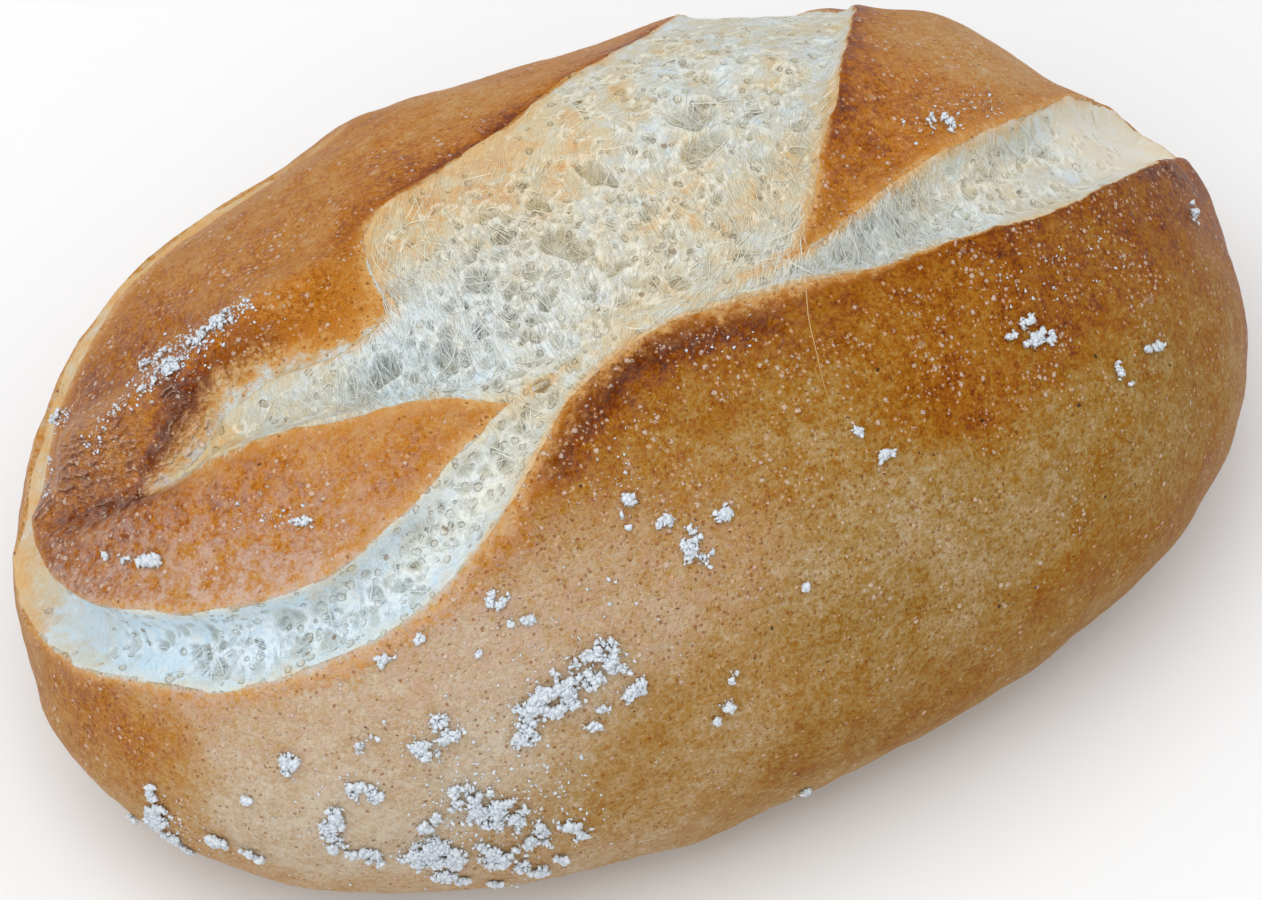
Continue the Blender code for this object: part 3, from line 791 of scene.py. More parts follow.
def makeThreads(crumbPiece, placed, kinds, past):
    random = np.random.default_rng(7)
    tree = surfaceTree(crumbPiece)
    count = int(threads["count"] * (1))
    starts = random.choice(np.flatnonzero(past > threads["startDepth"]), count * 12)
    verts, faces, colours = [], [], []
    made = 0
    t = np.linspace(0, 1, threads["rings"])
    for start, (strength, direction, colour, deep) in zip(placed[starts], kinds[starts]):
        if made == count:
            break
        atPore = threads["poreHollow"][0] < deep < threads["poreHollow"][1]
        if random.random() > (threads["atPores"] if atPore else 0.5 * strength ** 2):
            continue
        fan = threads["fan"] * (threads["poreFan"] if atPore else 1) / max(strength, 0.4)
        angle = radians(direction + random.normal(0, fan))
        span = between(threads["shortest"], threads["longest"], random.random() ** 1.6)
        span *= 0.4 + 0.6 * strength
        way = np.array([cos(angle), sin(angle), 0])
        side = np.array([-way[1], way[0], 0])
        bow = random.normal(0, threads["bow"]) * span
        path = start + np.outer(t * span, way) + np.outer(4 * t * (1 - t) * bow, side)
        under = [surfaceUnder(tree, p) for p in path]
        if None in under or min(under) < 0.02:
            continue
        under = np.array(under)
        chord = under[0] + (under[-1] - under[0]) * t
        if np.max(np.abs(under - chord)) > threads["deepestSpan"]:
            continue
        path[:, 2] = np.maximum(chord, under) + threads["lift"]
        path[[0, -1], 2] -= threads["sunkenEnds"]
        path[1:-1, 2] = (path[:-2, 2] + 2 * path[1:-1, 2] + path[2:, 2]) / 4
        thick = between(threads["thinnest"], threads["thickest"], random.random() ** 3)
        addTube(verts, faces, path, thick * (0.45 + 0.55 * np.sin(pi * np.clip(t, 0.12, 0.88))))
        colours += [colour] * (threads["rings"] * threads["sides"])
        made += 1
    piece = addSolid("threads", verts, faces, threadMaterial())
    addAttribute(piece.data, "colour", np.array(colours))


def addTube(verts, faces, path, radii, sides=threads["sides"]):
    first = len(verts)
    ways = np.gradient(path, axis=0)
    ways /= np.linalg.norm(ways, axis=1, keepdims=True)
    side = np.cross(ways, (0.3, 0.1, 0.95))
    side /= np.linalg.norm(side, axis=1, keepdims=True)
    up = np.cross(side, ways)
    for k in range(len(path)):
        for j in range(sides):
            turn = 2 * pi * j / sides
            verts.append(tuple(path[k] + radii[k] * (cos(turn) * side[k] + sin(turn) * up[k])))
    for k in range(len(path) - 1):
        for j in range(sides):
            low, high, following = first + k * sides, first + (k + 1) * sides, (j + 1) % sides
            faces.append((low + j, low + following, high + following, high + j))
    faces.append(tuple(first + j for j in reversed(range(sides))))
    faces.append(tuple(first + (len(path) - 1) * sides + j for j in range(sides)))


# Flour stuck to the crust in patches: start and end of each, half width in mm, how many grains.
flour = {
    "patches": [
        (-0.3, -0.59, -0.19, -0.54, 1.8, 980), (-0.34, -0.62, -0.29, -0.61, 0.8, 110),
        (-0.22, -0.58, -0.18, -0.57, 0.7, 50), (-0.25, -0.64, -0.18, -0.62, 0.8, 120),
        (-0.42, -0.56, -0.37, -0.54, 1.2, 200), (-0.52, -0.56, -0.5, -0.6, 0.8, 120),
        (-0.56, -0.59, -0.61, -0.64, 1, 180), (-0.62, -0.66, -0.61, -0.7, 0.6, 60),
        (-0.6, -0.69, -0.59, -0.74, 0.9, 120), (-0.5, -0.7, -0.47, -0.7, 0.8, 70),
        (-0.54, -0.75, -0.52, -0.82, 2.3, 640), (-0.57, -0.85, -0.56, -0.93, 0.8, 140),
        (-0.43, -0.68, -0.39, -0.77, 2, 520), (-0.43, -0.65, -0.41, -0.67, 0.6, 50),
        (-0.46, -0.8, -0.46, -0.88, 1.5, 280), (-0.45, -0.9, -0.46, -1, 1, 130),
        (-0.38, -0.81, -0.34, -0.85, 0.8, 130), (-0.41, -0.84, -0.37, -0.86, 0.7, 60),
        (-0.4, -0.92, -0.4, -1, 0.5, 30), (-0.35, -0.87, -0.33, -0.9, 0.6, 35),
        (-0.55, -0.95, -0.53, -1.05, 0.4, 50), (-0.79, -0.4, -0.83, -0.42, 0.6, 60),
        (-0.84, -0.44, -0.95, -0.5, 1.3, 360), (-1.05, -0.43, -0.91, -0.45, 0.4, 50),
        (-0.92, -0.52, -1, -0.58, 0.6, 80), (-0.81, -0.55, -0.77, -0.61, 0.7, 200),
        (-0.79, -0.62, -0.77, -0.64, 0.3, 30), (-0.56, -0.47, -0.56, -0.49, 0.9, 120),
        (-0.66, -0.5, -0.65, -0.52, 0.5, 45), (-0.39, -0.4, -0.34, -0.395, 0.4, 80),
        (-0.31, -0.46, -0.3, -0.45, 0.3, 18), (-0.26, -0.38, -0.26, -0.4, 0.7, 50),
        (-0.24, -0.44, -0.27, -0.43, 0.4, 20), (-0.43, -0.49, -0.48, -0.51, 0.4, 20),
        (-0.11, -0.34, -0.12, -0.38, 0.5, 40), (-0.09, -0.39, -0.09, -0.4, 0.6, 36),
        (-0.05, -0.41, -0.03, -0.43, 0.6, 76), (-0.08, -0.44, -0.06, -0.45, 1.1, 90),
        (0.13, -0.41, 0.13, -0.42, 0.8, 76), (0.1, -0.37, 0.12, -0.38, 0.3, 20),
        (0.33, -0.32, 0.33, -0.33, 1, 120), (0.31, -0.3, 0.32, -0.29, 0.5, 34),
        (0.29, -0.31, 0.3, -0.32, 0.8, 14), (0.46, -0.39, 0.5, -0.38, 0.5, 40),
        (0.42, -0.4, 0.44, -0.43, 0.4, 24), (0.69, -0.14, 0.67, -0.17, 0.7, 26),
        (0.31, 0.02, 0.33, 0.03, 1.2, 26), (-0.66, 0, -0.57, -0.1, 0.45, 210),
        (-0.35, 0.15, -0.41, 0.135, 0.9, 60), (-0.41, 0.135, -0.47, 0.12, 0.8, 50),
        (-0.47, 0.205, -0.43, 0.185, 1, 24), (-0.66, 0.34, -0.62, 0.31, 0.5, 36),
        (-0.41, -0.15, -0.38, -0.18, 0.5, 30), (-0.04, -1.17, 0, -1.18, 0.4, 20),
        (0.02, -0.57, 0.02, -0.58, 0.4, 24), (-0.08, -0.67, -0.1, -0.73, 0.5, 44),
        (-0.12, -0.74, -0.12, -0.75, 0.4, 16),
    ],
    # loose powder, in the same order
    "sprinkled": [
        (-0.48, 0.21, -0.39, 0.16, 2, 170), (-0.33, 0.15, -0.47, 0.122, 1.2, 560),
        (-0.48, 0.13, -0.57, 0.125, 1, 110), (-0.66, 0.34, -0.6, 0.28, 1, 90),
        (-0.68, 0.28, -0.7, 0.2, 0.6, 40), (-0.03, -0.18, 0.05, -0.19, 1.6, 36),
        (-0.1, -0.25, -0.11, -0.36, 1.8, 40), (0.3, -0.25, 0.48, -0.2, 2.4, 80),
        (0.29, 0.03, 0.4, 0.06, 2.2, 80), (-0.45, -0.12, -0.38, -0.17, 1.2, 60),
        (-0.6, -0.55, -0.3, -0.7, 7, 260), (-0.45, -0.6, -0.15, -0.5, 5, 200),
        (-0.52, -0.8, -0.3, -0.8, 4, 240), (-0.8, -0.5, -0.92, -0.5, 3, 80),
    ],
    "sprinkledSize": 0.6,
    "dropHeight": 0.010,
    "fullness": 2.5,
    "breadth": 1.35,
    "smallest": 0.00009,
    "largest": 0.00046,
    "clump": 0.0016,
    "pile": 0.0003,
    "pattern": (0.0007, 3.0, 0.6),
    "tones": ((206, 214, 222), (228, 232, 236)),
    "surface": {"Roughness": 0.9, "Specular IOR Level": 0.1},
}


def grainShapes(random, howMany, corners):
    # a few lumpy grains of unit size, to be scattered at many sizes and turns
    shapes = []
    for _ in range(howMany):
        lump = bmesh.new()
        for direction in random.normal(size=(corners, 3)):
            lump.verts.new(direction / np.linalg.norm(direction) * random.uniform(0.75, 1.1))
        hull = bmesh.ops.convex_hull(lump, input=lump.verts)
        unused = [g for g in hull["geom_interior"] if isinstance(g, bmesh.types.BMVert)]
        bmesh.ops.delete(lump, geom=unused, context="VERTS")
        lump.verts.index_update()
        verts = np.array([v.co for v in lump.verts])
        shapes.append((verts, [[v.index for v in f.verts] for f in lump.faces]))
        lump.free()
    return shapes


def turnedAtRandom(random, verts):
    turn, _ = np.linalg.qr(random.normal(size=(3, 3)))
    if np.linalg.det(turn) < 0:
        turn[:, 0] *= -1
    return verts @ turn.T


def makeFlour(tree):
    random = np.random.default_rng(11)
    shapes = grainShapes(random, 12, 7)
    verts, faces = [], []
    rows = [(row, False) for row in flour["patches"]] + [(row, True) for row in flour["sprinkled"]]
    for (a0, b0, a1, b1, halfWidth, grains), sprinkled in rows:
        start, end = rollPoint(np.array([a0, a1]), np.array([b0, b1]))
        normal = rollNormal(np.array([(a0 + a1) / 2]), np.array([(b0 + b1) / 2]))[0]
        halfWidth *= mm * flour["breadth"]
        run = end - start
        side = np.cross(normal, run + 1e-6)
        side /= np.linalg.norm(side)
        grains = grains if sprinkled else int(grains * flour["fullness"])
        tries = grains * 5
        along = random.uniform(-0.05, 1.05, tries)
        across = random.normal(0, 0.50, tries) * halfWidth
        spots = start + along[:, None] * run + across[:, None] * side
        spots += random.normal(0, 0.15, (tries, 3)) * halfWidth
        density = 0.8 * roughNoise(spots, flour["clump"], 3, 0.6)
        density += random.uniform(-0.15, 0.15, tries)
        density += 0.5 - 0.5 * (across / halfWidth) ** 2
        if sprinkled:
            density = random.uniform(-0.5, 0.0, tries)
        order = np.argsort(-density)[: grains]
        for i in order:
            above = Vector(spots[i] + normal * flour["dropHeight"])
            place, outward, _, _ = tree.ray_cast(above, Vector(-normal))
            if place is None:
                continue
            size = between(flour["smallest"], flour["largest"], random.random() ** 2.2)
            size *= flour["sprinkledSize"] if sprinkled else 1
            lumpy, rings = shapes[random.integers(len(shapes))]
            pile = max(0.0, density[i]) * flour["pile"]
            centre = np.array(place + outward * (size * 0.35 + pile))
            first = len(verts)
            stretch = size * random.uniform(0.75, 1.25, 3)
            verts += [tuple(p) for p in centre + turnedAtRandom(random, lumpy * stretch)]
            faces += [[first + k for k in ring] for ring in rings]
    addSolid("flour", verts, faces, flourMaterial())


# Flakes of bran on the crust, and the pale seam that crosses it at the front.
specks = {
    "count": 900,
    "smallest": 0.00008,
    "largest": 0.00022,
    # places and sizes of the burnt ones
    "burnt": [(0.364, -0.44, 0.00030), (0.349, -0.463, 0.00036), (0.355, -0.452, 0.00014)],
    "flat": (1.5, 0.9, 0.35),
    "fromTear": 0.002,
    "pattern": (0.004, 2.0, 0.5),
    "toneRange": (0.35, 0.65),
    "tones": ((54, 32, 22), (122, 62, 24)),
    "roughness": 0.7,
}
seam = {
    "places": [(0.108, -0.152), (0.101, -0.19), (0.098, -0.238), (0.095, -0.285), (0.095, -0.328)],
    "radius": 0.00006,
    "tone": (196, 160, 108),
    "roughness": 0.5,
}


def makeSpecks(tree):
    random = np.random.default_rng(5)
    shapes = grainShapes(random, 8, 7)
    verts, faces = [], []
    a = random.uniform(-0.95, 0.95, specks["count"] * 4)
    b = random.uniform(-1.1, -0.1, specks["count"] * 4)
    bran = blendPlaces(a, b, crust["skin"], reach=crust["skinReach"])[4]
    outside = tearDepth(a, b, rollPoint(a, b))[0] < -specks["fromTear"]
    chosen = (random.random(len(a)) < bran) & outside
    sizes = random.uniform(specks["smallest"], specks["largest"], len(a)) * (0.6 + 0.4 * bran)
    spots = list(zip(a[chosen], b[chosen], sizes[chosen]))[: specks["count"]] + specks["burnt"]
    for placeA, placeB, size in spots:
        point = rollPoint(np.array([placeA]), np.array([placeB]))[0]
        place, outward, _, _ = tree.find_nearest(Vector(point))
        first = len(verts)
        lumpy, rings = shapes[random.integers(len(shapes))]
        stretch = size * np.array(specks["flat"]) * random.uniform(0.7, 1.3, 3)
        spin = random.uniform(0, pi)
        along = np.cross(np.array(outward), (cos(spin), sin(spin), 0.1))
        along /= np.linalg.norm(along)
        axes = np.stack([along, np.cross(np.array(outward), along), np.array(outward)])
        verts += [tuple(p) for p in np.array(place) + (lumpy * stretch) @ axes]
        faces += [[first + k for k in ring] for ring in rings]
    addSolid("bran", verts, faces, branMaterial())


def makeSeam(tree):
    line = smoothLine(seam["places"])
    path = rollPoint(line[:, 0], line[:, 1])
    path = np.array([tree.find_nearest(Vector(p))[0] for p in path])
    along = np.linspace(0, 1, len(path))
    verts, faces = [], []
    addTube(verts, faces, path, seam["radius"] * (1.1 - 0.7 * along), sides=6)
    addSolid("seam", verts, faces, seamMaterial())


def setInputs(tree, node, inputs):
    for name, value in inputs.items():
        if isinstance(value, bpy.types.NodeSocket):
            tree.links.new(value, node.inputs[name])
        else:
            node.inputs[name].default_value = value


def addNode(tree, kind, inputs=None, **settings):
    node = tree.nodes.new("ShaderNode" + kind)
    for name, value in settings.items():
        setattr(node, name, value)
    setInputs(tree, node, inputs or {})
    return node


def shade(red, green, blue):
    # a tone as seen on screen, 0 to 255, as the linear colour a shader takes
    linear = [((c / 255 + 0.055) / 1.055) ** 2.4 for c in (red, green, blue)]
    return (*linear, 1.0)


def mixColours(tree, share, first, second):
    # each colour comes out of another node or is a tone as seen on screen
    first, second = [shade(*c) if isinstance(c, tuple) else c for c in (first, second)]
    return addNode(tree, "Mix", {0: share, 6: first, 7: second}, data_type="RGBA").outputs[2]


def paintOver(tree, colour, layers):
    for share, tone in layers:
        colour = mixColours(tree, share, colour, tone)
    return colour


def calculate(tree, operation, first, second=0.0, third=0.0):
    return addNode(tree, "Math", {0: first, 1: second, 2: third}, operation=operation).outputs[0]


def times(tree, value, *factors):
    for factor in factors:
        value = calculate(tree, "MULTIPLY", value, factor)
    return value


def plus(tree, value, parts):
    for pattern, amount in parts:
        value = calculate(tree, "MULTIPLY_ADD", pattern, amount, value)
    return value


def varied(tree, value, changes):
    # a value made uneven: patterns round 0.5 and how much each one changes it
    for pattern, amount in changes:
        value = plus(tree, value, [(calculate(tree, "SUBTRACT", pattern, 0.5), amount)])
    return value


def remap(tree, value, low, high, newLow=0.0, newHigh=1.0):
    ends = {"From Min": low, "From Max": high, "To Min": newLow, "To Max": newHigh}
    return addNode(tree, "MapRange", {"Value": value, **ends}).outputs["Result"]


def readAttribute(tree, name):
    return addNode(tree, "Attribute", attribute_name=name).outputs["Fac"]


def grain(tree, place, size, detail=2.0, roughness=0.5):
    settings = {"Vector": place, "Scale": 1 / size, "Detail": detail, "Roughness": roughness}
    return addNode(tree, "TexNoise", settings).outputs["Fac"]


def moveVector(tree, operation, inputs):
    return addNode(tree, "VectorMath", inputs, operation=operation).outputs[0]


def shiftedPlace(tree, place, size, amount):
    colour = addNode(tree, "TexNoise", {"Vector": place, "Scale": 1 / size}).outputs["Color"]
    centred = moveVector(tree, "SUBTRACT", {0: colour, 1: (0.5, 0.5, 0.5)})
    scaled = moveVector(tree, "SCALE", {0: centred, "Scale": amount})
    return moveVector(tree, "ADD", {0: place, 1: scaled})


def dots(tree, place, size, radius, share):
    # scattered dots, the smallest 0.4 of the largest: 1 in a dot, 0 outside
    cells = addNode(tree, "TexVoronoi", {"Vector": place, "Scale": 1 / size})
    own = addNode(tree, "SeparateColor", {"Color": cells.outputs["Color"]})
    chosen = calculate(tree, "LESS_THAN", own.outputs["Red"], share)
    reach = remap(tree, own.outputs["Green"], 0, 1, radius * 0.4, radius)
    inside = calculate(tree, "SUBTRACT", reach, cells.outputs["Distance"])
    return times(tree, chosen, remap(tree, inside, 0.0, radius * 0.25))


def colourRamp(tree, value, stops):
    node = addNode(tree, "ValToRGB", {"Fac": value})
    elements = node.color_ramp.elements
    while len(elements) < len(stops):
        elements.new(1.0)
    for element, (position, tone) in zip(elements, stops):
        element.position = position
        element.color = shade(*tone)
    return node.outputs["Color"]


def relief(tree, height, distance):
    bump = addNode(tree, "Bump", {"Height": height, "Distance": distance, "Strength": 1.0})
    return bump.outputs["Normal"]


def startMaterial(name):
    material = bpy.data.materials.new(name)
    material.use_nodes = True
    tree = material.node_tree
    place = addNode(tree, "TexCoord").outputs["Object"]
    return material, tree, tree.nodes["Principled BSDF"], place


# The look of the crust. Patterns are given as size, detail and roughness, tones as seen on screen,
# 0 to 255, and covers as the low and high value of a pattern and how much shows at each.
crustLook = {
    "shift": (0.00028, 0.00034),
    "patches": (0.0100, 3.0, 0.55),
    "mottle": (0.0026, 4.0, 0.65),
    "speckle": (0.0010, 3.0, 0.6),
    "fine": (0.00045, 3.0, 0.75),
    "clusters": (0.0050, 3.0, 0.6),
    "powder": (0.0013, 4.0, 0.8),
    "bends": (0.0030, 3.0, 0.6),
    # browning, with the painted shade of the bands in it, its tone where it is olive and where it
    # is orange
    "tones": [
        (0.00, (212, 196, 172), (220, 200, 174)), (0.20, (194, 170, 136), (208, 176, 138)),
        (0.36, (178, 146, 96), (206, 156, 98)), (0.50, (164, 126, 60), (202, 137, 62)),
        (0.62, (156, 105, 24), (194, 119, 31)), (0.75, (148, 84, 2), (166, 90, 6)),
        (0.88, (120, 56, 0), (130, 56, 0)), (1.00, (84, 34, 4), (88, 32, 6)),
    ],
    "unevenBrown": (0.45, 0.50, 0.45, 0.85),  # by patches, mottle, speckle and fine
    "unevenGold": (1.6, 1.6, 1.6),  # by mottle, speckle and fine
    "unevenCream": (1.2, 2.2, 2.0),
    "goldRange": (0.3, 1.2),
    "goldTones": ((206, 130, 40), (224, 176, 108)),
    "goldCover": (0.0, 0.9, 0.0, 0.85),
    "creamRange": (0.42, 0.58),
    "creamTones": ((204, 184, 146), (212, 218, 212)),
    "creamCover": (0.0, 0.9),
    # flour dust, and on the left wedge and the nose a painted pinkish sheen
    "dustAndSheenCover": (0.40, 0.60),
    "dustAndSheenTone": (212, 182, 166),
    # wrinkles at the nose, with a painted highlight on their crests and painted shade in their
    # troughs
    "waveLength": 0.62,  # mm
    "waveBend": 2.2,
    "waveMottle": (0.35, 0.60),
    "waveSpeckle": (0.36, 0.60),
    "crestHighlightCover": (0.1, 0.9, 0.0, 0.55),
    "crestHighlightTone": (226, 184, 160),
    "troughShadeCover": (-0.1, -0.9, 0.0, 0.50),
    "troughShadeTone": (96, 44, 14),
    # round light crumbs and blisters in clusters, which at the nose also stand for painted glints,
    # then dark flecks of bran: size of their cells, radius in cells, share of the cells as times
    # and plus, cover, rise, tone
    "clusterRange": (0.42, 0.62),
    "marks": [
        ("blistersAndGlints", 0.0026, 0.26, 0.5, 0.04, 0.26, 0.0, (216, 192, 164)),
        ("blistersAndGlints", 0.00048, 0.46, 1.0, 0.04, 0.58, 0.0, (226, 188, 156)),
        ("blistersAndGlints", 0.00080, 0.40, 1.2, 0.01, 0.68, 0.30, (232, 204, 184)),
        ("bran", 0.00052, 0.44, 1.7, 0.0, 0.60, 0.0, (136, 70, 20)),
        ("bran", 0.0010, 0.20, 1.0, 0.0, 0.60, 0.0, (104, 52, 20)),
        ("bran", 0.0029, 0.09, 1.0, 0.0, 0.85, 0.0, (54, 32, 22)),
    ],
    "roughness": (0.3, 0.9, 0.50, 0.30),  # from pale to brown
    "gloss": (0.0, 1.0, 0.10, 0.60),  # more where it is wrinkled
    "glossTone": (255, 204, 156),
    "mottleRise": 1.2,
    "fineRise": 1.0,
    "waveRise": 0.50,
    "relief": 0.00055,
}


def crustMaterial():
    look = crustLook
    material, tree, surface, place = startMaterial("bakedCrust")
    moved = shiftedPlace(tree, place, *look["shift"])
    patches, mottle, speckle, fine, clusters, powder, bends = [
        grain(tree, place, *look[name])
        for name in ("patches", "mottle", "speckle", "fine", "clusters", "powder", "bends")
    ]
    wrinkled = readAttribute(tree, "wrinkled")
    uneven = zip((patches, mottle, speckle, fine), look["unevenBrown"])
    browningAndShade = varied(tree, readAttribute(tree, "browningAndShade"), uneven)
    olive, orange = [
        colourRamp(tree, browningAndShade, [(row[0], row[k]) for row in look["tones"]]) for k in (1, 2)
    ]
    colour = mixColours(tree, readAttribute(tree, "warm"), olive, orange)

    rimPatterns = (mottle, speckle, fine)
    gold = varied(tree, readAttribute(tree, "gold"), zip(rimPatterns, look["unevenGold"]))
    cream = varied(tree, readAttribute(tree, "cream"), zip(rimPatterns, look["unevenCream"]))
    golden = mixColours(tree, remap(tree, gold, *look["goldRange"]), *look["goldTones"])
    creamy = mixColours(tree, remap(tree, mottle, *look["creamRange"]), *look["creamTones"])
    bent = plus(tree, readAttribute(tree, "fromCrease"), [(bends, look["waveBend"])])
    waves = calculate(tree, "SINE", times(tree, bent, 2 * pi / look["waveLength"]))
    for pattern, name in ((mottle, "waveMottle"), (speckle, "waveSpeckle")):
        waves = times(tree, waves, remap(tree, pattern, *look[name]))
    waves = times(tree, waves, wrinkled)
    # flour dust, with a painted pinkish sheen on the left wedge and the nose
    dustAndSheen = times(tree, readAttribute(tree, "dustAndSheen"), remap(tree, powder, *look["dustAndSheenCover"]))
    colour = paintOver(tree, colour, [
        (remap(tree, gold, *look["goldCover"]), golden),
        (remap(tree, cream, *look["creamCover"]), creamy),
        (dustAndSheen, look["dustAndSheenTone"]),
        # painted highlight on the wrinkles' crests, painted shade in their troughs
        (remap(tree, waves, *look["crestHighlightCover"]), look["crestHighlightTone"]),
        (remap(tree, waves, *look["troughShadeCover"]), look["troughShadeTone"]),
    ])

    # light blisters, and at the nose painted glints
    blistersAndGlints = readAttribute(tree, "blistersAndGlints")
    shares = {
        "blistersAndGlints": times(tree, blistersAndGlints, remap(tree, clusters, *look["clusterRange"])),
        "bran": readAttribute(tree, "bran"),
    }
    height = plus(tree, times(tree, mottle, look["mottleRise"]), [(fine, look["fineRise"])])
    for kind, size, radius, more, least, cover, rise, tone in look["marks"]:
        share = calculate(tree, "MULTIPLY_ADD", shares[kind], more, least)
        mark = dots(tree, moved, size, radius, share)
        colour = mixColours(tree, times(tree, mark, cover), colour, tone)
        if rise:
            height = plus(tree, height, [(mark, rise)])
    height = plus(tree, height, [(waves, look["waveRise"])])
    setInputs(tree, surface, {
        "Base Color": colour,
        "Roughness": remap(tree, browningAndShade, *look["roughness"]),
        "Specular IOR Level": remap(tree, wrinkled, *look["gloss"]),
        "Specular Tint": shade(*look["glossTone"]),
        "Normal": relief(tree, height, look["relief"]),
    })
    return material


# The look of the crumb, given as for the crust.
crumbLook = {
    "bend": (0.003, 0.0012),
    "curl": (0.0008, 0.0005),
    "patches": (0.0050, 3.0, 0.6),
    "mottle": (0.0014, 4.0, 0.7),
    "fine": (0.00030, 3.0, 0.7),
    "fibres": (0.00060, 2.0, 0.6),
    "fibreStretch": (0.10, 1.0, 0.5),
    "fibreRange": (0.16, 0.0),
    "strandRange": (0.035, 0.010),
    # thin walls between the smallest pores, then the fine and the deep pores: size of their cells,
    # radius in cells and share
    "cell": 0.0009,
    "wallHighlightCover": (0.10, 0.02, 0.0, 0.6),
    "pores": [(0.0011, 0.48, 1.3), (0.0024, 0.22, 0.7)],
    "unevenColour": (2.4, 2.2),  # by patches and mottle
    "raisedTone": 0.2,
    "toneRange": (-1.0, 1.2),
    # the bluish white end is painted cool light
    "tones": [
        (0.0, (197, 222, 238)), (0.30, (200, 209, 210)), (0.52, (197, 192, 173)),
        (0.72, (204, 183, 142)), (0.88, (208, 162, 98)), (1.0, (196, 134, 62)),
    ],
    # tones where the crumb is bluish, a painted cool light, and where it is golden: painted shade
    # on hollow floors and in pores, and a painted highlight on the walls
    "unevenWarmth": 1.6,
    "warmthRange": (-0.9, 0.6),
    "hollowShadeTones": ((176, 181, 172), (196, 178, 132)),
    "poreShadeTones": ((166, 162, 142), (172, 150, 104)),
    "wallHighlightTones": ((228, 238, 242), (240, 234, 212)),
    # painted shade on hollow floors and in pores
    "hollowShadeCover": (0.05, 0.6, 0.0, 0.70),
    "poreShadeCover": 0.60,
    # painted highlight on fibres, on the walls and rims of pores and on strands, dimmed in hollows
    "fibreHighlightCover": (0.2, 1.2, 0.0, 0.25),
    "webHighlightCover": 0.75,
    "strandHighlightCover": (0.0, 1.0, 0.0, 0.7),
    "highlightInHollows": (0.3, 0.9, 1.0, 0.3),
    # painted shade in the deep pores
    "deepPoreShadeCover": 0.75,
    "deepPoreShadeTone": (128, 100, 68),
    # painted light that lifts the crumb where it lies in shade
    "paintedLightCover": 0.7,
    "paintedLightTone": (238, 230, 214),
    "fineCover": (0.46, 0.30, 0.0, 0.20),
    "fineTone": (164, 148, 110),
    # strips beside the crust, by the name of their width, and their unevenness
    "strips": [("cream", 0.60, (212, 198, 162)), ("toast", 0.75, (212, 164, 100))],
    "unevenStrip": (1.4, 1.6, 0.7),  # by patches, mottle and fibres
    "surface": {
        "Roughness": 0.5,
        "Specular IOR Level": 0.4,
        "Subsurface Weight": 0.25,
        "Subsurface Radius": (1.0, 0.9, 0.7),
        "Subsurface Scale": 0.0005,
    },
    "rises": (0.6, 0.6, 0.4, -1.0),  # of mottle, fibres, strands and pores
    "fineRise": 0.5,
    "relief": 0.00026,
}


def fibreRidges(tree, place):
    # fine fibres and thin bright strands, drawn in the few ways that the crumb's fibres run
    fibres = strands = 0.0
    for k, degrees in enumerate(crumb["fibreWays"]):
        turned = addNode(tree, "VectorRotate", {"Vector": place, "Angle": -radians(degrees)})
        ends = {0: turned.outputs["Vector"], 1: crumbLook["fibreStretch"]}
        lines = grain(tree, moveVector(tree, "MULTIPLY", ends), *crumbLook["fibres"])
        ridge = calculate(tree, "ABSOLUTE", calculate(tree, "SUBTRACT", lines, 0.5))
        share = readAttribute(tree, "fibres" + str(k))
        fibres = plus(tree, fibres, [(remap(tree, ridge, *crumbLook["fibreRange"]), share)])
        strands = plus(tree, strands, [(remap(tree, ridge, *crumbLook["strandRange"]), share)])
    return fibres, strands


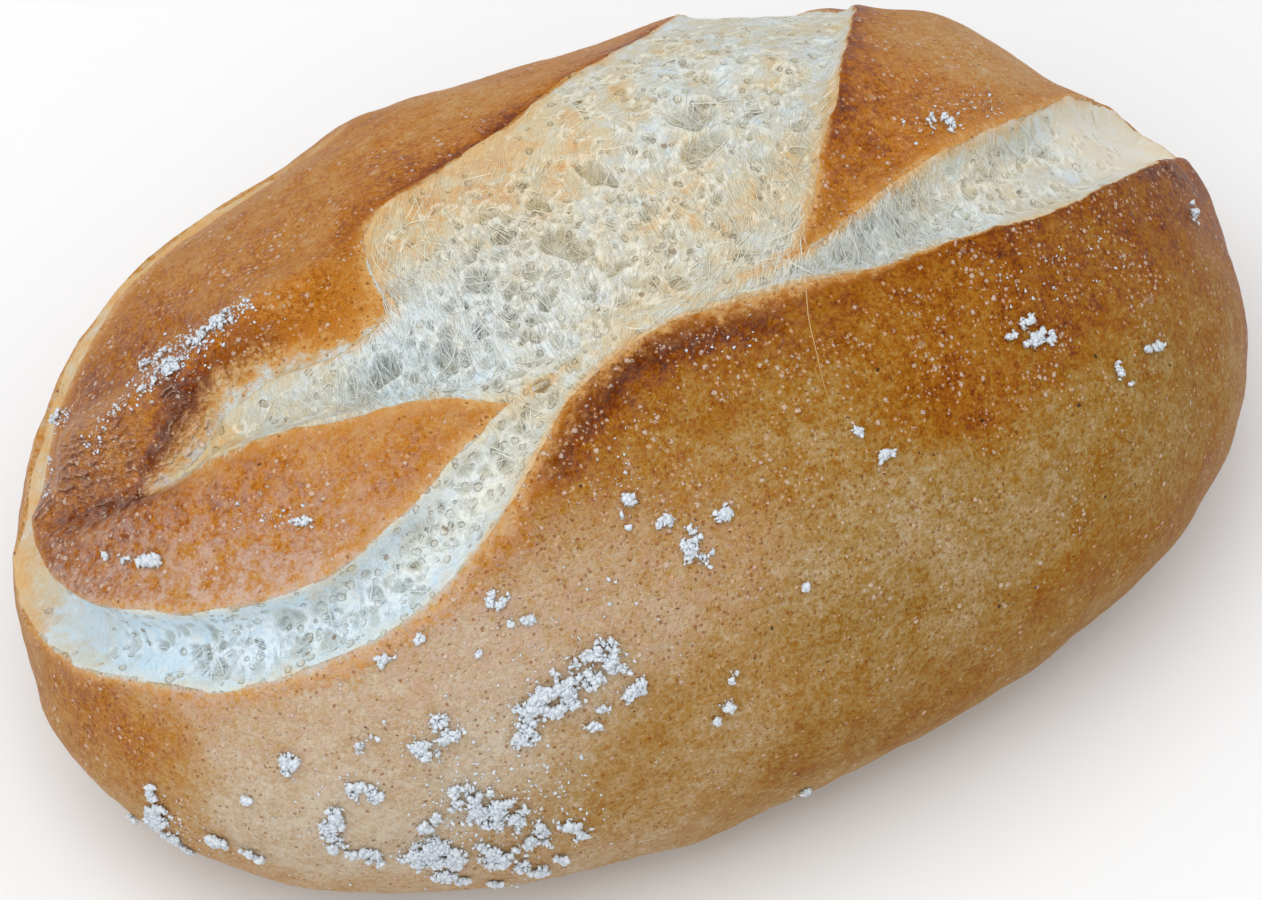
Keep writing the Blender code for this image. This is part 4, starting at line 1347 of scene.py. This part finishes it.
def crumbMaterial():
    look = crumbLook
    material, tree, surface, place = startMaterial("tornCrumb")
    curled = shiftedPlace(tree, place, *look["curl"])
    fibres, strands = fibreRidges(tree, shiftedPlace(tree, place, *look["bend"]))
    patches, mottle, fine = [
        grain(tree, place, *look[name]) for name in ("patches", "mottle", "fine")
    ]
    colouring, raised, porous, hollow, web, paintedLight = [
        readAttribute(tree, name)
        for name in ("colour", "raised", "porous", "hollow", "web", "paintedLight")
    ]
    cells = {"Vector": curled, "Scale": 1 / look["cell"]}
    border = addNode(tree, "TexVoronoi", cells, feature="DISTANCE_TO_EDGE").outputs["Distance"]
    walls = times(tree, remap(tree, border, *look["wallHighlightCover"]), porous)
    pores, deepPoreShade = [
        dots(tree, curled, size, radius, times(tree, porous, share))
        for size, radius, share in look["pores"]
    ]
    level = varied(tree, colouring, zip((patches, mottle), look["unevenColour"]))
    level = plus(tree, level, [(raised, look["raisedTone"])])
    colour = colourRamp(tree, remap(tree, level, *look["toneRange"]), look["tones"])
    warmth = varied(tree, colouring, [(patches, look["unevenWarmth"])])
    warmth = remap(tree, warmth, *look["warmthRange"])
    hollowShadeTone, poreShadeTone, wallHighlightTone = [
        mixColours(tree, warmth, *look[name]) for name in ("hollowShadeTones", "poreShadeTones", "wallHighlightTones")
    ]
    # painted highlight on fibre ridges, pore walls and rims and strands, weaker in hollows
    paintedHighlight = remap(tree, fibres, *look["fibreHighlightCover"])
    strandHighlightCover = remap(tree, strands, *look["strandHighlightCover"])
    for other in (walls, times(tree, web, look["webHighlightCover"]), strandHighlightCover):
        paintedHighlight = calculate(tree, "MAXIMUM", paintedHighlight, other)
    paintedHighlight = times(tree, paintedHighlight, remap(tree, hollow, *look["highlightInHollows"]))
    colour = paintOver(tree, colour, [
        # painted shade on hollow floors, in pores and darkest in the deep pores
        (remap(tree, hollow, *look["hollowShadeCover"]), hollowShadeTone),
        (times(tree, pores, look["poreShadeCover"]), poreShadeTone),
        # painted highlight
        (paintedHighlight, wallHighlightTone),
        (times(tree, deepPoreShade, look["deepPoreShadeCover"]), look["deepPoreShadeTone"]),
        # painted light where the crumb lies in shade
        (times(tree, paintedLight, look["paintedLightCover"]), look["paintedLightTone"]),
        (remap(tree, fine, *look["fineCover"]), look["fineTone"]),
    ])
    for width, share, tone in look["strips"]:
        uneven = zip((patches, mottle, fibres), look["unevenStrip"])
        strip = varied(tree, readAttribute(tree, width), uneven)
        colour = mixColours(tree, remap(tree, strip, 0.0, 1.0, 0.0, share), colour, tone)
    height = times(tree, fine, look["fineRise"])
    height = plus(tree, height, zip((mottle, fibres, strands, pores), look["rises"]))
    setInputs(tree, surface, {
        "Base Color": colour, "Normal": relief(tree, height, look["relief"]), **look["surface"],
    })
    return material


def threadMaterial():
    material, tree, surface, _ = startMaterial("glutenThread")
    level = remap(tree, readAttribute(tree, "colour"), *threads["toneRange"])
    colour = mixColours(tree, level, *threads["tones"])
    setInputs(tree, surface, {"Base Color": colour, "Roughness": threads["roughness"]})
    return material


def flourMaterial():
    material, tree, surface, place = startMaterial("dryFlour")
    colour = mixColours(tree, grain(tree, place, *flour["pattern"]), *flour["tones"])
    setInputs(tree, surface, {"Base Color": colour, **flour["surface"]})
    return material


def branMaterial():
    material, tree, surface, place = startMaterial("branFlake")
    share = remap(tree, grain(tree, place, *specks["pattern"]), *specks["toneRange"])
    colour = mixColours(tree, share, *specks["tones"])
    setInputs(tree, surface, {"Base Color": colour, "Roughness": specks["roughness"]})
    return material


def seamMaterial():
    material, tree, surface, _ = startMaterial("paleSeam")
    looks = {"Base Color": shade(*seam["tone"]), "Roughness": seam["roughness"]}
    setInputs(tree, surface, looks)
    return material


# The white ground that the roll lies on.
ground = {
    "halfSize": 1.5,
    "surface": {"Base Color": (0.86, 0.86, 0.86, 1), "Roughness": 0.9},
}


def makeStage():
    floor = bpy.data.meshes.new("floor")
    sheet = bmesh.new()
    bmesh.ops.create_grid(sheet, x_segments=1, y_segments=1, size=ground["halfSize"])
    sheet.to_mesh(floor)
    sheet.free()
    material, tree, surface, _ = startMaterial("paleFloor")
    setInputs(tree, surface, ground["surface"])
    floor.materials.append(material)
    stage = bpy.data.objects.new("floor", floor)
    bpy.context.scene.collection.objects.link(stage)
    print("floor, lamps and camera are in place")


# Soft studio light: a broad lamp overhead, weaker ones from the left and right and a pale sky.
light = {
    "lamps": [
        {"name": "key", "place": (-0.20, 0.00, 0.80), "size": 0.7, "power": 3.4,
         "colour": (0.98, 0.99, 1.0)},
        {"name": "side", "place": (-0.65, -0.35, 0.40), "size": 0.6, "power": 1.2,
         "colour": (0.96, 0.98, 1.0)},
        {"name": "fill", "place": (0.50, -0.20, 0.55), "size": 0.9, "power": 0.9,
         "colour": (1.0, 0.98, 0.95)},
    ],
    "sky": 0.66,
    "skyColour": (0.97, 0.985, 1.0, 1.0),
}


def makeLights():
    for settings in light["lamps"]:
        lamp = bpy.data.lights.new(settings["name"], "AREA")
        lamp.size = settings["size"]
        lamp.energy = settings["power"]
        lamp.color = settings["colour"]
        piece = bpy.data.objects.new(settings["name"], lamp)
        piece.location = settings["place"]
        piece.rotation_euler = (-Vector(settings["place"])).to_track_quat("-Z", "Y").to_euler()
        bpy.context.scene.collection.objects.link(piece)
    world = bpy.data.worlds.new("sky")
    world.use_nodes = True
    background = world.node_tree.nodes["Background"]
    background.inputs["Color"].default_value = light["skyColour"]
    background.inputs["Strength"].default_value = light["sky"]
    bpy.context.scene.world = world
    bpy.context.scene.view_settings.view_transform = "Standard"


# The photograph's viewpoint: from the front left, well above.
view = {
    "azimuth": -25.0,
    "elevation": 57.0,
    "distance": 0.450,
    "lens": 129.4,
    "shift": (-0.0024, -0.0515),
    "aim": (0.0, 0.0, 0.0275),
}


def makeCamera():
    azimuth, elevation = radians(view["azimuth"]), radians(view["elevation"])
    back = Vector((sin(azimuth) * cos(elevation), -cos(azimuth) * cos(elevation), sin(elevation)))
    lens = bpy.data.cameras.new("camera")
    lens.lens = view["lens"]
    lens.shift_x, lens.shift_y = view["shift"]
    lens.clip_start = 0.01
    camera = bpy.data.objects.new("camera", lens)
    camera.location = Vector(view["aim"]) + back * view["distance"]
    camera.rotation_euler = back.to_track_quat("Z", "Y").to_euler()
    bpy.context.scene.collection.objects.link(camera)
    bpy.context.scene.camera = camera


makeCamera()
makeLights()
makeStage()
crustPiece = makeCrust()
crumbPiece, crumbPoints, crumbKinds, crumbPast = makeCrumb()
makeThreads(crumbPiece, crumbPoints, crumbKinds, crumbPast)
crustTree = surfaceTree(crustPiece)
makeFlour(crustTree)
makeSpecks(crustTree)
makeSeam(crustTree)
